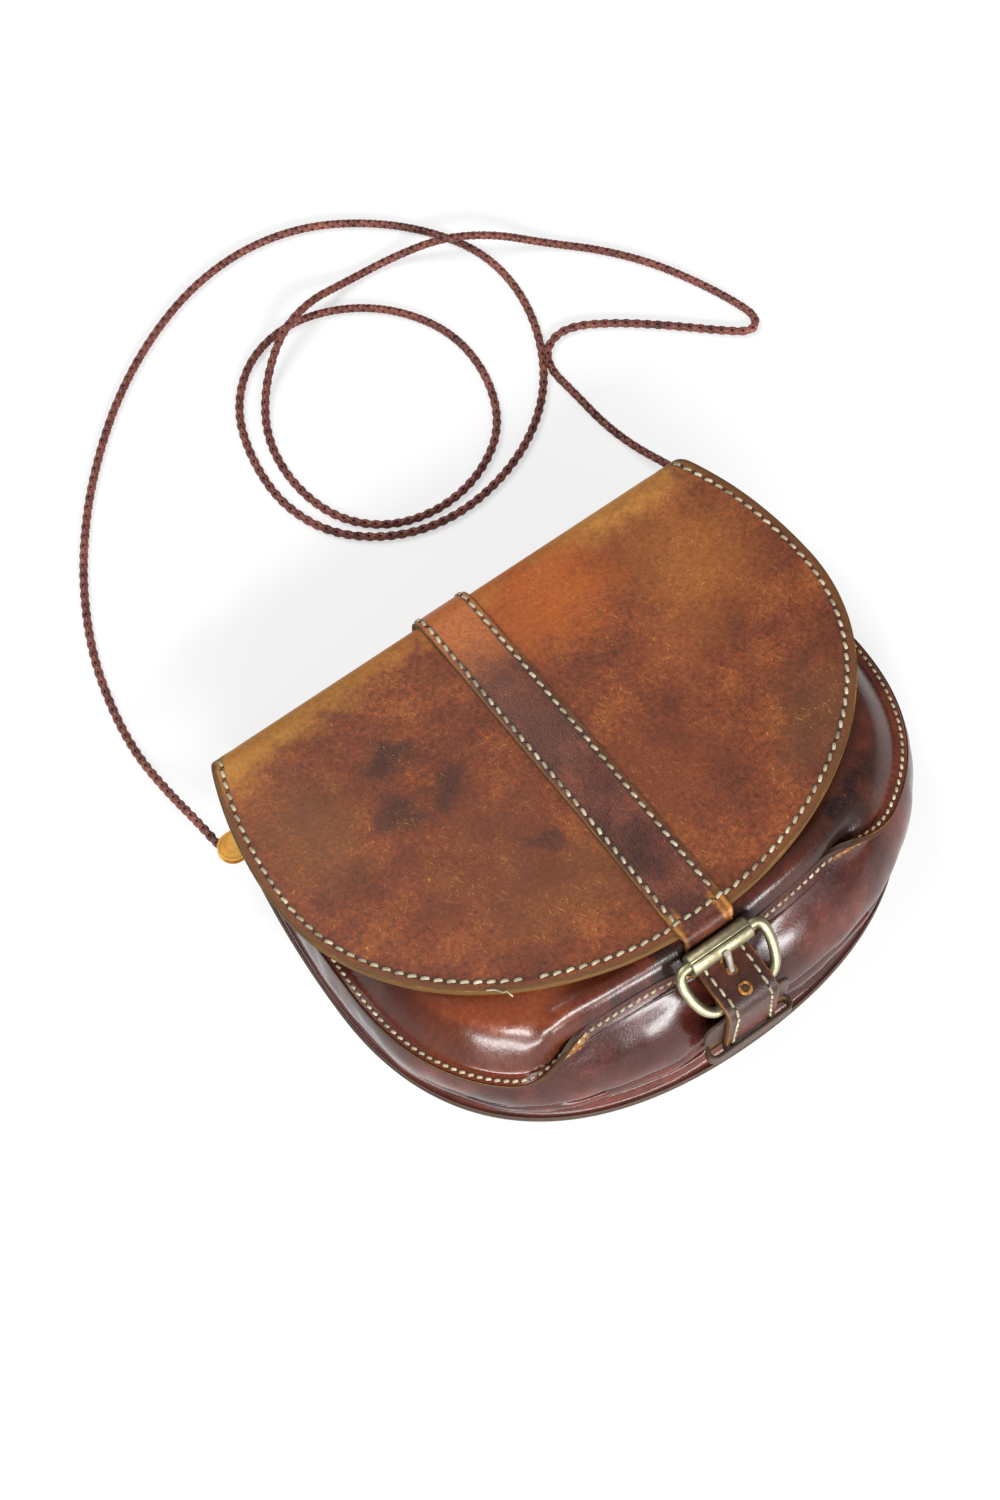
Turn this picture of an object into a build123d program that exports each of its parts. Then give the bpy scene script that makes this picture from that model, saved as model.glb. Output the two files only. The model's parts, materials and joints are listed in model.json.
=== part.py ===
"""Leather saddle bag with a D-shaped flap, a buckled strap and a braided shoulder cord.

The bag lies on its back: +X runs across it, +Y points to the fold of the flap and +Z is up.
The origin is on the floor under the middle of the bag.  Places along the bag are given as
distances below the fold line, and the function down() turns them into Y.
Millimetres and degrees.
"""

import os
from math import acos, atan2, cos, degrees, hypot, pi, radians, sin, sqrt, tan

from build123d import *

os.makedirs("parts", exist_ok=True)

# ---- leather and thread
panel_thickness = 2.2      # back and front panels
gusset_thickness = 2.0
flap_thickness = 3.3
strap_thickness = 2.4
strap_width = 24.5
strap_x = -3.0             # the strap is sewn a little left of the middle
seat_gap = 0.3             # between leather pieces that bear on each other along curved faces
rest_gap = 0.4             # between the closed flap and the front panel
run_gap = 0.25             # where the strap slides past metal or leather

# ---- outlines: half width, length below the fold, widest line and half of the straight top
flap_half_width = 128.0
flap_setback = 33.0        # the flap ends this far short of the back panel
flap_shoulder = 69.0
flap_top_half = 113.0
flap_roundness = 0.552     # 0.552 makes quarter ellipses, more makes them squarer
flap_corner = 4.0
body_half_width = 123.0
body_shoulder = 100.0
body_top_half = 110.0
body_roundness = 0.64
back_length = 203.0
front_setback = 16.0       # the front panel's edge ends short of the back panel's
waist_setback = 7.0        # and so does the middle of the gusset, where it swells out
waist_inset = 2.5          # of its sides

# ---- heights
fold_height = 54.0         # upper face of the flap at its fold
flap_rise = 4.0            # the flap climbs towards its round edge
dome_height = 16.3         # the front panel stands this far above its seam
dome_inset = 20.0
flange_width = 6.5         # seam allowance turned outwards
wall_inset = 5.0           # the gusset wall stands inside the seams
mouth_drop = 24.0          # the front panel's upper edge, below the fold
gusset_drop = 18.0         # where the gusset ends, below the fold
waist_height = 22.0

# ---- spine: the strip between the fold and the back panel
spine_flange = 20.0
spine_flange_half = 100.0

# ---- buckle
wire_radius = 2.2
frame_length = 22.1        # between the hinge bar and the roller bar
frame_tilt = 39.0
hinge_height = 46.0
frame_half_width = 18.2    # to the middle of an arm
frame_corner_roller = 4.0
frame_corner_hinge = 7.0
roller_radius = 4.55
roller_seam = 0.4
roller_seam_angle = 110.0
pin_gap = 0.1              # radial play on the bars
prong_radius = 1.4
prong_eye_wall = 1.6
prong_eye_width = 3.6
prong_start_angle = 40.0
prong_rest_angle = 160.0   # where the tip touches the roller, seen along the bar
prong_overrun = 1.5
prong_bend = 5.0
chape_wall = 1.8
chape_width = 22.0
chape_slot = 4.6
chape_drop = 19.0          # from the hinge bar down the gusset

# ---- strap tail and keeper
strap_overhang = 0.5       # strap past the flap's edge before it bends down
strap_shoulder = 2.6
strap_bend = 1.8
tail_end_height = 6.0
prong_slot_length = 9.5
prong_slot_shift = 0.6     # towards the hinge bar, because the prong comes up at a slant
prong_slot_width = 4.0
strap_hole = 3.2
hole_pitch = 7.6
keeper_width = 40.0
keeper_thickness = 2.3
keeper_low = 9.0
keeper_high = 22.0

# ---- stitches
stitch_pitch = 5.0
stitch_length = 3.8
stitch_width = 1.0
stitch_height = 0.5
seam_pitch = 3.4
seam_stitch_length = 2.5
edge_margin = 4.0          # from the flap's edge to its stitches
strap_margin = 2.9
seam_margin = 2.6

# ---- shoulder cord
cord_radius = 2.0
cord_hole_gap = 0.3
cord_drop = 28.0           # the cord's hole, below the fold
cord_height = 27.0
knot_radius = 4.5
knot_face = 110.5          # the cord meets its knot here, from the middle of the bag
ear_width = 9.6
ear_thickness = 3.0
ear_reach = 127.4
ear_height = 30.2

# ---- worked out from the above
flap_length = back_length - flap_setback
front_length = back_length - front_setback
waist_length = back_length - waist_setback
bar_hole = wire_radius + pin_gap
wall_drop = back_length - wall_inset + seat_gap
hinge_drop = wall_drop + keeper_thickness - bar_hole - chape_wall
tail_drop = hinge_drop + bar_hole + chape_wall + run_gap
keeper_reach = tail_drop + strap_thickness + run_gap + keeper_thickness
fold_y = (keeper_reach - strap_thickness) / 2


def down(distance):
    """Y of a place that lies this far below the fold."""
    return fold_y - distance


tilt_up = (0, sin(radians(flap_rise)), cos(radians(flap_rise)))
flap_plane = Plane(origin=(0, fold_y, fold_height), x_dir=(1, 0, 0), z_dir=tilt_up)
seam_height = fold_height - flap_thickness - rest_gap - dome_height
seam_plane = Plane(origin=(0, fold_y, seam_height), x_dir=(1, 0, 0), z_dir=tilt_up)
back_plane = Plane(origin=(0, fold_y, panel_thickness))


def d_sides(half_width, top_half, shoulder, length, roundness, inset=0.0):
    """The sides and the round bottom of a D, from its right top corner to the left one."""
    side = half_width - inset
    top = top_half - inset
    bottom = length - inset
    depth = roundness * (bottom - shoulder)
    reach = roundness * side
    TangentArc((side, -shoulder), (top, 0), tangent=(0, 1))
    Bezier((side, -shoulder), (side, -shoulder - depth), (reach, -bottom), (0, -bottom))
    Bezier((0, -bottom), (-reach, -bottom), (-side, -shoulder - depth), (-side, -shoulder))
    TangentArc((-side, -shoulder), (-top, 0), tangent=(0, 1))


def d_face(half_width, top_half, shoulder, length, roundness, inset=0.0, mode=Mode.ADD):
    """A filled D with a straight top edge on the fold line."""
    with BuildLine() as outline:
        d_sides(half_width, top_half, shoulder, length, roundness, inset)
        Line((-(top_half - inset), 0), (top_half - inset, 0))
    make_face(outline.edges(), mode=mode)


def body_face(length, inset=0.0, mode=Mode.ADD):
    """A D of the pouch: every section has the same sides and its own length."""
    d_face(body_half_width, body_top_half, body_shoulder, length, body_roundness, inset, mode)


def pouch(inset):
    """The filled space inside the gusset, through its bulging middle section."""
    middle = Plane(origin=(0, fold_y, waist_height))
    with BuildSketch(back_plane) as low:
        body_face(back_length, wall_inset + inset)
    with BuildSketch(middle) as waist:
        body_face(waist_length + waist_inset, waist_inset + inset)
    with BuildSketch(seam_plane) as high:
        body_face(front_length, wall_inset + inset)
    loft([section.sketch.face() for section in (low, waist, high)], ruled=True)


def stitch_places(path, pitch, plane):
    """Even places along a path drawn in the plane's own coordinates, each looking along it."""
    count = int(path.length / pitch)
    places = []
    for number in range(count):
        share = (number + 0.5) / count
        spot = Plane(path.position_at(share), x_dir=path.tangent_at(share), z_dir=(0, 0, 1))
        places.append(plane.location * spot.location)
    return places


def stitches(places, length):
    """One short block of thread at each place, seated on the leather."""
    with Locations(*places):
        Box(length, stitch_width, stitch_height, align=(Align.CENTER, Align.CENTER, Align.MIN))


# ---- pouch: back panel, gusset and front panel
big = 4 * body_half_width

with BuildPart() as back_panel:
    with BuildSketch(Plane(origin=(0, fold_y, 0))):
        body_face(back_length)
    extrude(amount=panel_thickness)

with BuildPart() as pouch_inside:
    pouch(gusset_thickness)

with BuildPart() as gusset:
    pouch(0)
    add(pouch_inside.part, mode=Mode.SUBTRACT)
    with BuildSketch(back_plane):
        body_face(back_length, seat_gap)
        body_face(back_length, flange_width, mode=Mode.SUBTRACT)
    extrude(amount=gusset_thickness)
    with BuildSketch(seam_plane):
        body_face(front_length, seat_gap)
        body_face(front_length, flange_width, mode=Mode.SUBTRACT)
    extrude(amount=-gusset_thickness)
    with BuildSketch(Plane(origin=(0, down(gusset_drop), 0))):
        Rectangle(big, big, align=(Align.CENTER, Align.MIN))
    extrude(amount=big, mode=Mode.SUBTRACT)
    with BuildSketch(Plane.YZ):
        with Locations((down(cord_drop), cord_height)):
            Circle(cord_radius + cord_hole_gap)
    extrude(amount=big, both=True, mode=Mode.SUBTRACT)

with BuildPart() as front_hollow:
    with BuildSketch(seam_plane):
        body_face(front_length, flange_width + panel_thickness)
    with BuildSketch(seam_plane.offset(dome_height - panel_thickness)):
        body_face(front_length, dome_inset + panel_thickness)
    loft()

with BuildPart() as front_panel:
    with BuildSketch(seam_plane):
        body_face(front_length)
    extrude(amount=panel_thickness)
    with BuildSketch(seam_plane.offset(panel_thickness)):
        body_face(front_length, flange_width)
    with BuildSketch(seam_plane.offset(dome_height)):
        body_face(front_length, dome_inset)
    loft()
    add(front_hollow.part, mode=Mode.SUBTRACT)
    with BuildSketch(Plane(origin=(0, down(mouth_drop), 0))):
        Rectangle(big, big, align=(Align.CENTER, Align.MIN))
    extrude(amount=big, mode=Mode.SUBTRACT)

# ---- spine: rises from the back panel to the fold
with BuildPart() as flap_spine:
    with BuildSketch(Plane.YZ.offset(-flap_top_half)):
        with Locations((fold_y, panel_thickness)):
            Rectangle(flap_thickness, fold_height - panel_thickness, align=(Align.MAX, Align.MIN))
    extrude(amount=2 * flap_top_half)
    with BuildSketch(Plane.YZ.offset(-spine_flange_half)):
        with Locations((fold_y, panel_thickness)):
            Rectangle(spine_flange, flap_thickness, align=(Align.MAX, Align.MIN))
    extrude(amount=2 * spine_flange_half)

strap_fold_gap = strap_thickness + run_gap   # keeps the two halves of the strap apart when open
with BuildPart() as spine_strap:
    with BuildSketch(Plane.YZ.offset(strap_x - strap_width / 2)):
        with Locations((fold_y, seat_gap)):
            height = fold_height - strap_fold_gap - seat_gap
            Rectangle(strap_thickness, height, align=(Align.MIN, Align.MIN))
    extrude(amount=strap_width)

# ---- flap, hinged along the outer corner of the fold
with BuildPart() as flap_panel:
    with BuildSketch(flap_plane):
        d_face(flap_half_width, flap_top_half, flap_shoulder, flap_length, flap_roundness)
    extrude(amount=-flap_thickness)
    with BuildSketch(flap_plane):
        hinge_room = flap_thickness + seat_gap
        Rectangle(big, hinge_room, align=(Align.CENTER, Align.MAX))
    extrude(amount=-flap_thickness, mode=Mode.SUBTRACT)
    upright = flap_panel.edges().filter_by(Axis(flap_plane.origin, flap_plane.z_dir))
    fillet(upright.group_by(Axis.Y)[-1], radius=flap_corner)

strap_end = flap_length + strap_overhang
with BuildPart() as flap_strap:
    with BuildSketch(flap_plane):
        with Locations((strap_x, -strap_fold_gap)):
            length = strap_end - strap_fold_gap
            Rectangle(strap_width, length, align=(Align.CENTER, Align.MAX))
    extrude(amount=strap_thickness)

# ---- buckle: hinge bar centre, roller bar centre and the plane of the frame
hinge_at = Vector(strap_x, down(hinge_drop), hinge_height)
frame_along = Vector(0, cos(radians(frame_tilt)), sin(radians(frame_tilt)))
roller_at = hinge_at + frame_along * frame_length
frame_normal = (0, -sin(radians(frame_tilt)), cos(radians(frame_tilt)))
frame_plane = Plane(origin=hinge_at, x_dir=(1, 0, 0), z_dir=frame_normal)

with BuildPart() as buckle_frame:
    with BuildLine(frame_plane):
        FilletPolyline((0, frame_length), (frame_half_width, frame_length),
                       (frame_half_width, 0), (0, 0),
                       radius=[frame_corner_roller, frame_corner_hinge])
    with BuildSketch(Plane(origin=roller_at, z_dir=(1, 0, 0))):
        Circle(wire_radius)
    sweep()
    mirror(about=Plane.YZ.offset(strap_x))

with BuildPart() as buckle_roller:
    with BuildSketch(Plane(origin=roller_at, x_dir=(0, 1, 0), z_dir=(1, 0, 0))):
        Circle(roller_radius)
        Circle(wire_radius + pin_gap, mode=Mode.SUBTRACT)
        with Locations(Location((0, 0), roller_seam_angle)):
            Rectangle(big, roller_seam, align=(Align.MIN, Align.CENTER), mode=Mode.SUBTRACT)
    extrude(amount=frame_half_width - frame_corner_roller - pin_gap, both=True)

# The prong leaves its eye at one angle and runs past the roller square to the line of touch.
side_plane = Plane(origin=hinge_at, x_dir=(0, 1, 0), z_dir=(1, 0, 0))
roller_y = frame_length * cos(radians(frame_tilt))
roller_z = frame_length * sin(radians(frame_tilt))
touch = roller_radius + pin_gap + prong_radius
touch_y = roller_y + touch * cos(radians(prong_rest_angle))
touch_z = roller_z + touch * sin(radians(prong_rest_angle))
rise_y = sin(radians(prong_rest_angle))
rise_z = -cos(radians(prong_rest_angle))
start_y = cos(radians(prong_start_angle))
start_z = sin(radians(prong_start_angle))
back_off = (touch_z * start_y - touch_y * start_z) / (rise_z * start_y - rise_y * start_z)
bend_at = (touch_y - rise_y * back_off, touch_z - rise_z * back_off)
tip_at = (touch_y + rise_y * prong_overrun, touch_z + rise_z * prong_overrun)
eye_middle = bar_hole + prong_eye_wall / 2

with BuildPart() as buckle_prong:
    with BuildLine(side_plane):
        start = (eye_middle * start_y, eye_middle * start_z)
        FilletPolyline(start, bend_at, tip_at, radius=prong_bend)
    with BuildSketch(Plane(origin=side_plane.from_local_coords(start),
                           z_dir=(0, start_y, start_z))):
        Circle(prong_radius)
    sweep()
    with BuildSketch(side_plane):
        Circle(bar_hole + prong_eye_wall)
    extrude(amount=prong_eye_width / 2, both=True)
    with BuildSketch(side_plane):
        Circle(bar_hole)
    extrude(amount=prong_eye_width, both=True, mode=Mode.SUBTRACT)

# The chape is a leather strip doubled round the hinge bar and sewn down on the gusset.
with BuildPart() as buckle_chape:
    with BuildSketch(side_plane):
        Circle(bar_hole + chape_wall)
        with Locations((-(bar_hole + chape_wall), 0)):
            Rectangle(keeper_thickness, chape_drop, align=(Align.MIN, Align.MAX))
        Circle(bar_hole, mode=Mode.SUBTRACT)
    extrude(amount=chape_width / 2, both=True)
    slot_height = 2 * (bar_hole + chape_wall + pin_gap)
    with Locations(side_plane.location):
        Box(slot_height, slot_height, chape_slot, mode=Mode.SUBTRACT)

# ---- strap tail: over the flap's edge, under the roller, over the hinge bar, down the keeper
half_strap = strap_thickness / 2
round_roller = roller_radius + run_gap + half_strap
round_hinge = bar_hole + chape_wall + run_gap + half_strap
tilt = radians(flap_rise)


def on_flap(distance):
    """The middle of the strap's thickness this far along the flap, in the side plane."""
    y = fold_y - distance * cos(tilt) + half_strap * sin(tilt)
    z = fold_height + distance * sin(tilt) + half_strap * cos(tilt)
    return (y - hinge_at.Y, z - hinge_at.Z)


def polar(centre, radius, angle):
    """A point on a circle, angle in degrees."""
    return (centre[0] + radius * cos(radians(angle)), centre[1] + radius * sin(radians(angle)))


roller_centre = (roller_y, roller_z)
tail_start = on_flap(strap_end + pin_gap)
tail_corner = on_flap(strap_end + strap_shoulder)
to_corner = (tail_corner[0] - roller_y, tail_corner[1] - roller_z)
corner_angle = degrees(atan2(to_corner[1], to_corner[0]))
arc_start = corner_angle - degrees(acos(round_roller / hypot(*to_corner)))
cross_angle = degrees(acos((round_roller + round_hinge) / frame_length))
arc_end = frame_tilt - 180 + cross_angle
hinge_arc_start = arc_end + 180
tail_level = tail_end_height - hinge_height

with BuildPart() as strap_tail:
    with BuildSketch(side_plane):
        with BuildLine():
            FilletPolyline(tail_start, tail_corner, polar(roller_centre, round_roller, arc_start),
                           radius=strap_bend)
            CenterArc(roller_centre, round_roller, arc_start, arc_end - arc_start)
            Line(polar(roller_centre, round_roller, arc_end),
                 polar((0, 0), round_hinge, hinge_arc_start))
            CenterArc((0, 0), round_hinge, hinge_arc_start, 180 - hinge_arc_start)
            Line((-round_hinge, 0), (-round_hinge, tail_level))
        trace(line_width=strap_thickness)
    extrude(amount=strap_width / 2, both=True)
    # The prong's slot and a spare hole, both cut square to the stretch over the frame.
    run_angle = hinge_arc_start - 90
    hole_plane = Plane(origin=side_plane.from_local_coords(bend_at), x_dir=(1, 0, 0),
                       z_dir=(0, -sin(radians(run_angle)), cos(radians(run_angle))))
    with BuildSketch(hole_plane):
        with Locations((0, -prong_slot_shift)):
            SlotOverall(prong_slot_length, prong_slot_width, rotation=90)
        with Locations((0, -hole_pitch)):
            Circle(strap_hole / 2)
    extrude(amount=2 * strap_thickness, both=True, mode=Mode.SUBTRACT)

with BuildPart() as keeper_loop:
    inner_depth = strap_thickness + 2 * run_gap
    outer_depth = inner_depth + 2 * keeper_thickness
    keeper_plane = Plane(origin=(strap_x, down(keeper_reach - outer_depth / 2), keeper_low))
    with BuildSketch(keeper_plane):
        RectangleRounded(keeper_width, outer_depth, outer_depth / 2 - pin_gap)
        RectangleRounded(keeper_width - 2 * keeper_thickness, inner_depth,
                         inner_depth / 2 - pin_gap, mode=Mode.SUBTRACT)
    extrude(amount=keeper_high - keeper_low)

# ---- thread
with BuildLine() as flap_seam:
    d_sides(flap_half_width, flap_top_half, flap_shoulder, flap_length, flap_roundness,
            edge_margin)
with BuildPart() as flap_edge_thread:
    on_leather = []
    for place in stitch_places(flap_seam.wire(), stitch_pitch, flap_plane):
        off_strap = abs(place.position.X - strap_x) - strap_width / 2
        over_strap = off_strap < -stitch_length / 2
        beside_strap = off_strap > stitch_length / 2
        below_spine = flap_plane.to_local_coords(place.position).Y < -hinge_room - stitch_length
        if over_strap:
            place = Location(Vector(tilt_up) * strap_thickness) * place
        if below_spine and (over_strap or beside_strap):
            on_leather.append(place)
    stitches(on_leather, stitch_length)

strap_line = strap_width / 2 - strap_margin
strap_face = flap_plane.offset(strap_thickness)
strap_seams = []
for side in (-strap_line, strap_line):
    with BuildLine() as strap_seam:
        Line((strap_x + side, -(hinge_room + stitch_length)),
             (strap_x + side, -(flap_length - edge_margin - stitch_pitch / 2)))
    strap_seams += stitch_places(strap_seam.wire(), stitch_pitch, strap_face)
with BuildPart() as flap_strap_thread:
    stitches(strap_seams, stitch_length)

tail_face = Plane(origin=hinge_at - Vector(0, round_hinge + half_strap, 0),
                  x_dir=(1, 0, 0), z_dir=(0, -1, 0))
tail_seams = []
for side in (-strap_line, strap_line):
    with BuildLine() as tail_seam:
        Line((side, -stitch_pitch), (side, tail_level / 2))
    tail_seams += stitch_places(tail_seam.wire(), stitch_pitch, tail_face)
with BuildPart() as tail_thread:
    stitches(tail_seams, stitch_length)


def seam_stitches(plane, length, drop):
    """Places of a seam's stitches round the pouch, below where its leather begins."""
    with BuildLine() as seam:
        d_sides(body_half_width, body_top_half, body_shoulder, length, body_roundness,
                seam_margin)
    places = stitch_places(seam.wire(), seam_pitch, plane)
    limit = -(drop + seam_stitch_length)
    return [place for place in places if plane.to_local_coords(place.position).Y < limit]


with BuildPart() as front_seam_thread:
    stitches(seam_stitches(seam_plane.offset(panel_thickness), front_length, mouth_drop),
             seam_stitch_length)
with BuildPart() as back_seam_thread:
    stitches(seam_stitches(back_plane.offset(gusset_thickness), back_length, gusset_drop),
             seam_stitch_length)
with BuildLine() as spine_seam:
    spine_line = spine_flange - edge_margin
    Line((-spine_flange_half + edge_margin, -spine_line),
         (spine_flange_half - edge_margin, -spine_line))
with BuildPart() as spine_thread:
    spine_face = back_plane.offset(flap_thickness)
    stitches(stitch_places(spine_seam.wire(), stitch_pitch, spine_face), stitch_length)

# ---- cord fittings: an ear over each hole in the gusset, and a stopper knot inside it
with BuildPart() as pouch_room:
    pouch(-seat_gap)

with BuildPart() as cord_ear_left:
    ear_middle = ear_reach - ear_width / 2
    with BuildSketch(Plane(origin=(0, down(cord_drop), ear_height))):
        with Locations((-ear_middle, 0)):
            Circle(ear_width / 2)
        with Locations((-(ear_middle + knot_face) / 2, 0)):
            Rectangle(ear_middle - knot_face, ear_width)
    extrude(amount=ear_thickness)
    add(pouch_room.part, mode=Mode.SUBTRACT)

with BuildPart() as cord_ear_right:
    mirror(cord_ear_left.part, about=Plane.YZ)

with BuildPart() as cord_knot_left:
    knot_middle = knot_face - sqrt(knot_radius ** 2 - cord_radius ** 2)
    with Locations((-knot_middle, down(cord_drop), cord_height)):
        Sphere(knot_radius)
    with Locations((-knot_face, down(cord_drop), cord_height)):
        Box(knot_radius, big, big, align=(Align.MAX, Align.CENTER, Align.CENTER),
            mode=Mode.SUBTRACT)

with BuildPart() as cord_knot_right:
    mirror(cord_knot_left.part, about=Plane.YZ)

# ---- shoulder cord: from the left knot, round its loops on the floor, to the right knot.
# X, distance above the fold line and height of each point of the route.
lying = cord_radius + 0.05
over = lying + 4 * cord_radius
cord_route = [
    (-knot_face, -cord_drop, cord_height), (-125.2, -28, 27), (-126, -9, 23.5),
    (-126.6, 14, 13), (-126.3, 38, 5), (-122.8, 61, lying), (-115.5, 87, lying),
    (-101.5, 115, lying), (-83.5, 140, lying), (-63.5, 161, lying), (-40, 180.5, lying),
    (-13, 196, lying), (15, 206, lying), (43, 208.5, lying), (70, 202.5, lying),
    (93, 188.5, lying), (111, 170.5, lying), (124, 148.5, lying), (126.5, 124, lying),
    (120, 99, lying), (106, 76.5, lying), (85, 60.5, lying), (60, 52, lying),
    (35.5, 51, lying), (13, 58.5, lying), (-5.5, 74.5, lying), (-14, 97, lying),
    (-12.5, 121.5, lying), (-4.5, 145, lying), (13, 162, lying), (36, 167.5, lying),
    (60, 160.5, lying), (79, 145, lying), (91, 122.5, lying), (91, 97, lying),
    (80.5, 73.5, lying), (60.5, 60.5, lying), (37.5, 56.8, lying), (16, 62.8, lying),
    (1, 78, lying), (-5, 100, lying), (-2.5, 124, lying), (9, 144.5, lying),
    (27.5, 159.8, over), (47, 166.8, over), (69, 169.2, lying), (92, 167.5, lying),
    (112, 158.8, over), (130.5, 147.5, over), (149, 134.5, lying), (166, 118, lying),
    (180, 99.5, lying), (190, 80, lying), (196.5, 64, lying), (199.6, 52.3, lying),
    (193.6, 47.7, lying), (182.5, 56.8, lying), (165.5, 72.5, lying), (148, 86.8, lying),
    (131.5, 96.2, lying), (119.5, 94, lying), (113.6, 84.5, lying), (115.2, 68, lying),
    (116.3, 50, lying), (119.3, 32, 4.5), (123, 12.5, 13), (125, -9, 23.5),
    (125.2, -28, 27), (knot_face, -cord_drop, cord_height),
]
cord_points = [Vector(x, fold_y + y, z) for x, y, z in cord_route]


def corner_radius(before, corner, after):
    """The largest arc that leaves a tenth of the shorter run straight."""
    arriving = corner - before
    leaving = after - corner
    half_turn = radians(arriving.get_angle(leaving)) / 2
    return 0.45 * min(arriving.length, leaving.length) / tan(half_turn)


cord_radii = [corner_radius(*three) for three in zip(cord_points, cord_points[1:], cord_points[2:])]
with BuildPart() as shoulder_cord:
    with BuildLine() as cord_line:
        FilletPolyline(*cord_points, radius=cord_radii)
    with BuildSketch(Plane(origin=cord_points[0], z_dir=cord_points[1] - cord_points[0])):
        Circle(cord_radius)
    sweep()

cord_length = cord_line.wire().length
section = pi * cord_radius ** 2
print("cord length", round(cord_length, 1), "tightest bends",
      [round(radius, 1) for radius in sorted(cord_radii)[:8]])
print("cord volume over section times length",
      round(shoulder_cord.part.volume / (section * cord_length), 4))

# ---- write one file for each piece
pieces = {
    "back_panel": back_panel,
    "gusset": gusset,
    "front_panel": front_panel,
    "flap_spine": flap_spine,
    "spine_strap": spine_strap,
    "flap_panel": flap_panel,
    "flap_strap": flap_strap,
    "strap_tail": strap_tail,
    "buckle_frame": buckle_frame,
    "buckle_roller": buckle_roller,
    "buckle_prong": buckle_prong,
    "buckle_chape": buckle_chape,
    "keeper_loop": keeper_loop,
    "flap_edge_thread": flap_edge_thread,
    "flap_strap_thread": flap_strap_thread,
    "tail_thread": tail_thread,
    "front_seam_thread": front_seam_thread,
    "back_seam_thread": back_seam_thread,
    "spine_thread": spine_thread,
    "shoulder_cord": shoulder_cord,
    "cord_ear_left": cord_ear_left,
    "cord_ear_right": cord_ear_right,
    "cord_knot_left": cord_knot_left,
    "cord_knot_right": cord_knot_right,
}
for name, piece in pieces.items():
    piece.part.label = name
    export_step(piece.part, f"parts/{name}.step")
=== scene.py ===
import json
from math import acos, asin, atan2, cos, pi, radians, sin, sqrt

import bpy
import numpy as np
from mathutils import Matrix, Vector, geometry, noise


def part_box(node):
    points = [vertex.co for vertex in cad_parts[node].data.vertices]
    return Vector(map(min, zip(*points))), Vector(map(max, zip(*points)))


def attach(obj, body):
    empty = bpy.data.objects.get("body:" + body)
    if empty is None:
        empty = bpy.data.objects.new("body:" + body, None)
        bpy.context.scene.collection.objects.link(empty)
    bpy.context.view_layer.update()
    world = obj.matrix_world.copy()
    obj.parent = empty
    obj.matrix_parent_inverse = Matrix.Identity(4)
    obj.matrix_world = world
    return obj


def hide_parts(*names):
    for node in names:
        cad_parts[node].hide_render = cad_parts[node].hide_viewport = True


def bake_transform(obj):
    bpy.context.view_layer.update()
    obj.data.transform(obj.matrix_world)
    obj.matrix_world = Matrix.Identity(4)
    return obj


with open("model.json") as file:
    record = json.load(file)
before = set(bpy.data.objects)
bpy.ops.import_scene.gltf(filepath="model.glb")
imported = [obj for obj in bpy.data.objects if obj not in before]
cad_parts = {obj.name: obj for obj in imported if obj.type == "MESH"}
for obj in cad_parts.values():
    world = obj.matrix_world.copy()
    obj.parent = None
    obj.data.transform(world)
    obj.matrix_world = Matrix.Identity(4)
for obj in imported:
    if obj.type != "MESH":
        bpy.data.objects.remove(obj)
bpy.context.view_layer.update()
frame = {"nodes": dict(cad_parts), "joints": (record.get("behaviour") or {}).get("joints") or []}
scene = bpy.context.scene
mm = 0.001
fold_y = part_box("flap_spine")[1].y     # the back of the flap's fold: other places are set from it

# Camera: a long lens high over the left front corner of the bag.
# It takes in the bag and the whole loop of the shoulder cord behind it.
elevation, azimuth, distance = radians(66.23), radians(-36.17), 1453.66 * mm
aim = Vector((-13.95 * mm, fold_y - 55.1 * mm, 30 * mm))
back = Vector((cos(elevation) * sin(azimuth), -cos(elevation) * cos(azimuth), sin(elevation)))
camera = bpy.data.objects.new("camera", bpy.data.cameras.new("camera"))
camera.data.sensor_fit = "VERTICAL"
camera.data.sensor_height = 36
camera.data.lens = 88.65
camera.data.clip_start = 0.01
camera.data.clip_end = 20
camera.location = aim + back * distance
camera.rotation_euler = back.to_track_quat("Z", "Y").to_euler()
scene.collection.objects.link(camera)
scene.camera = camera
scene.view_settings.view_transform = "Standard"

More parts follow.
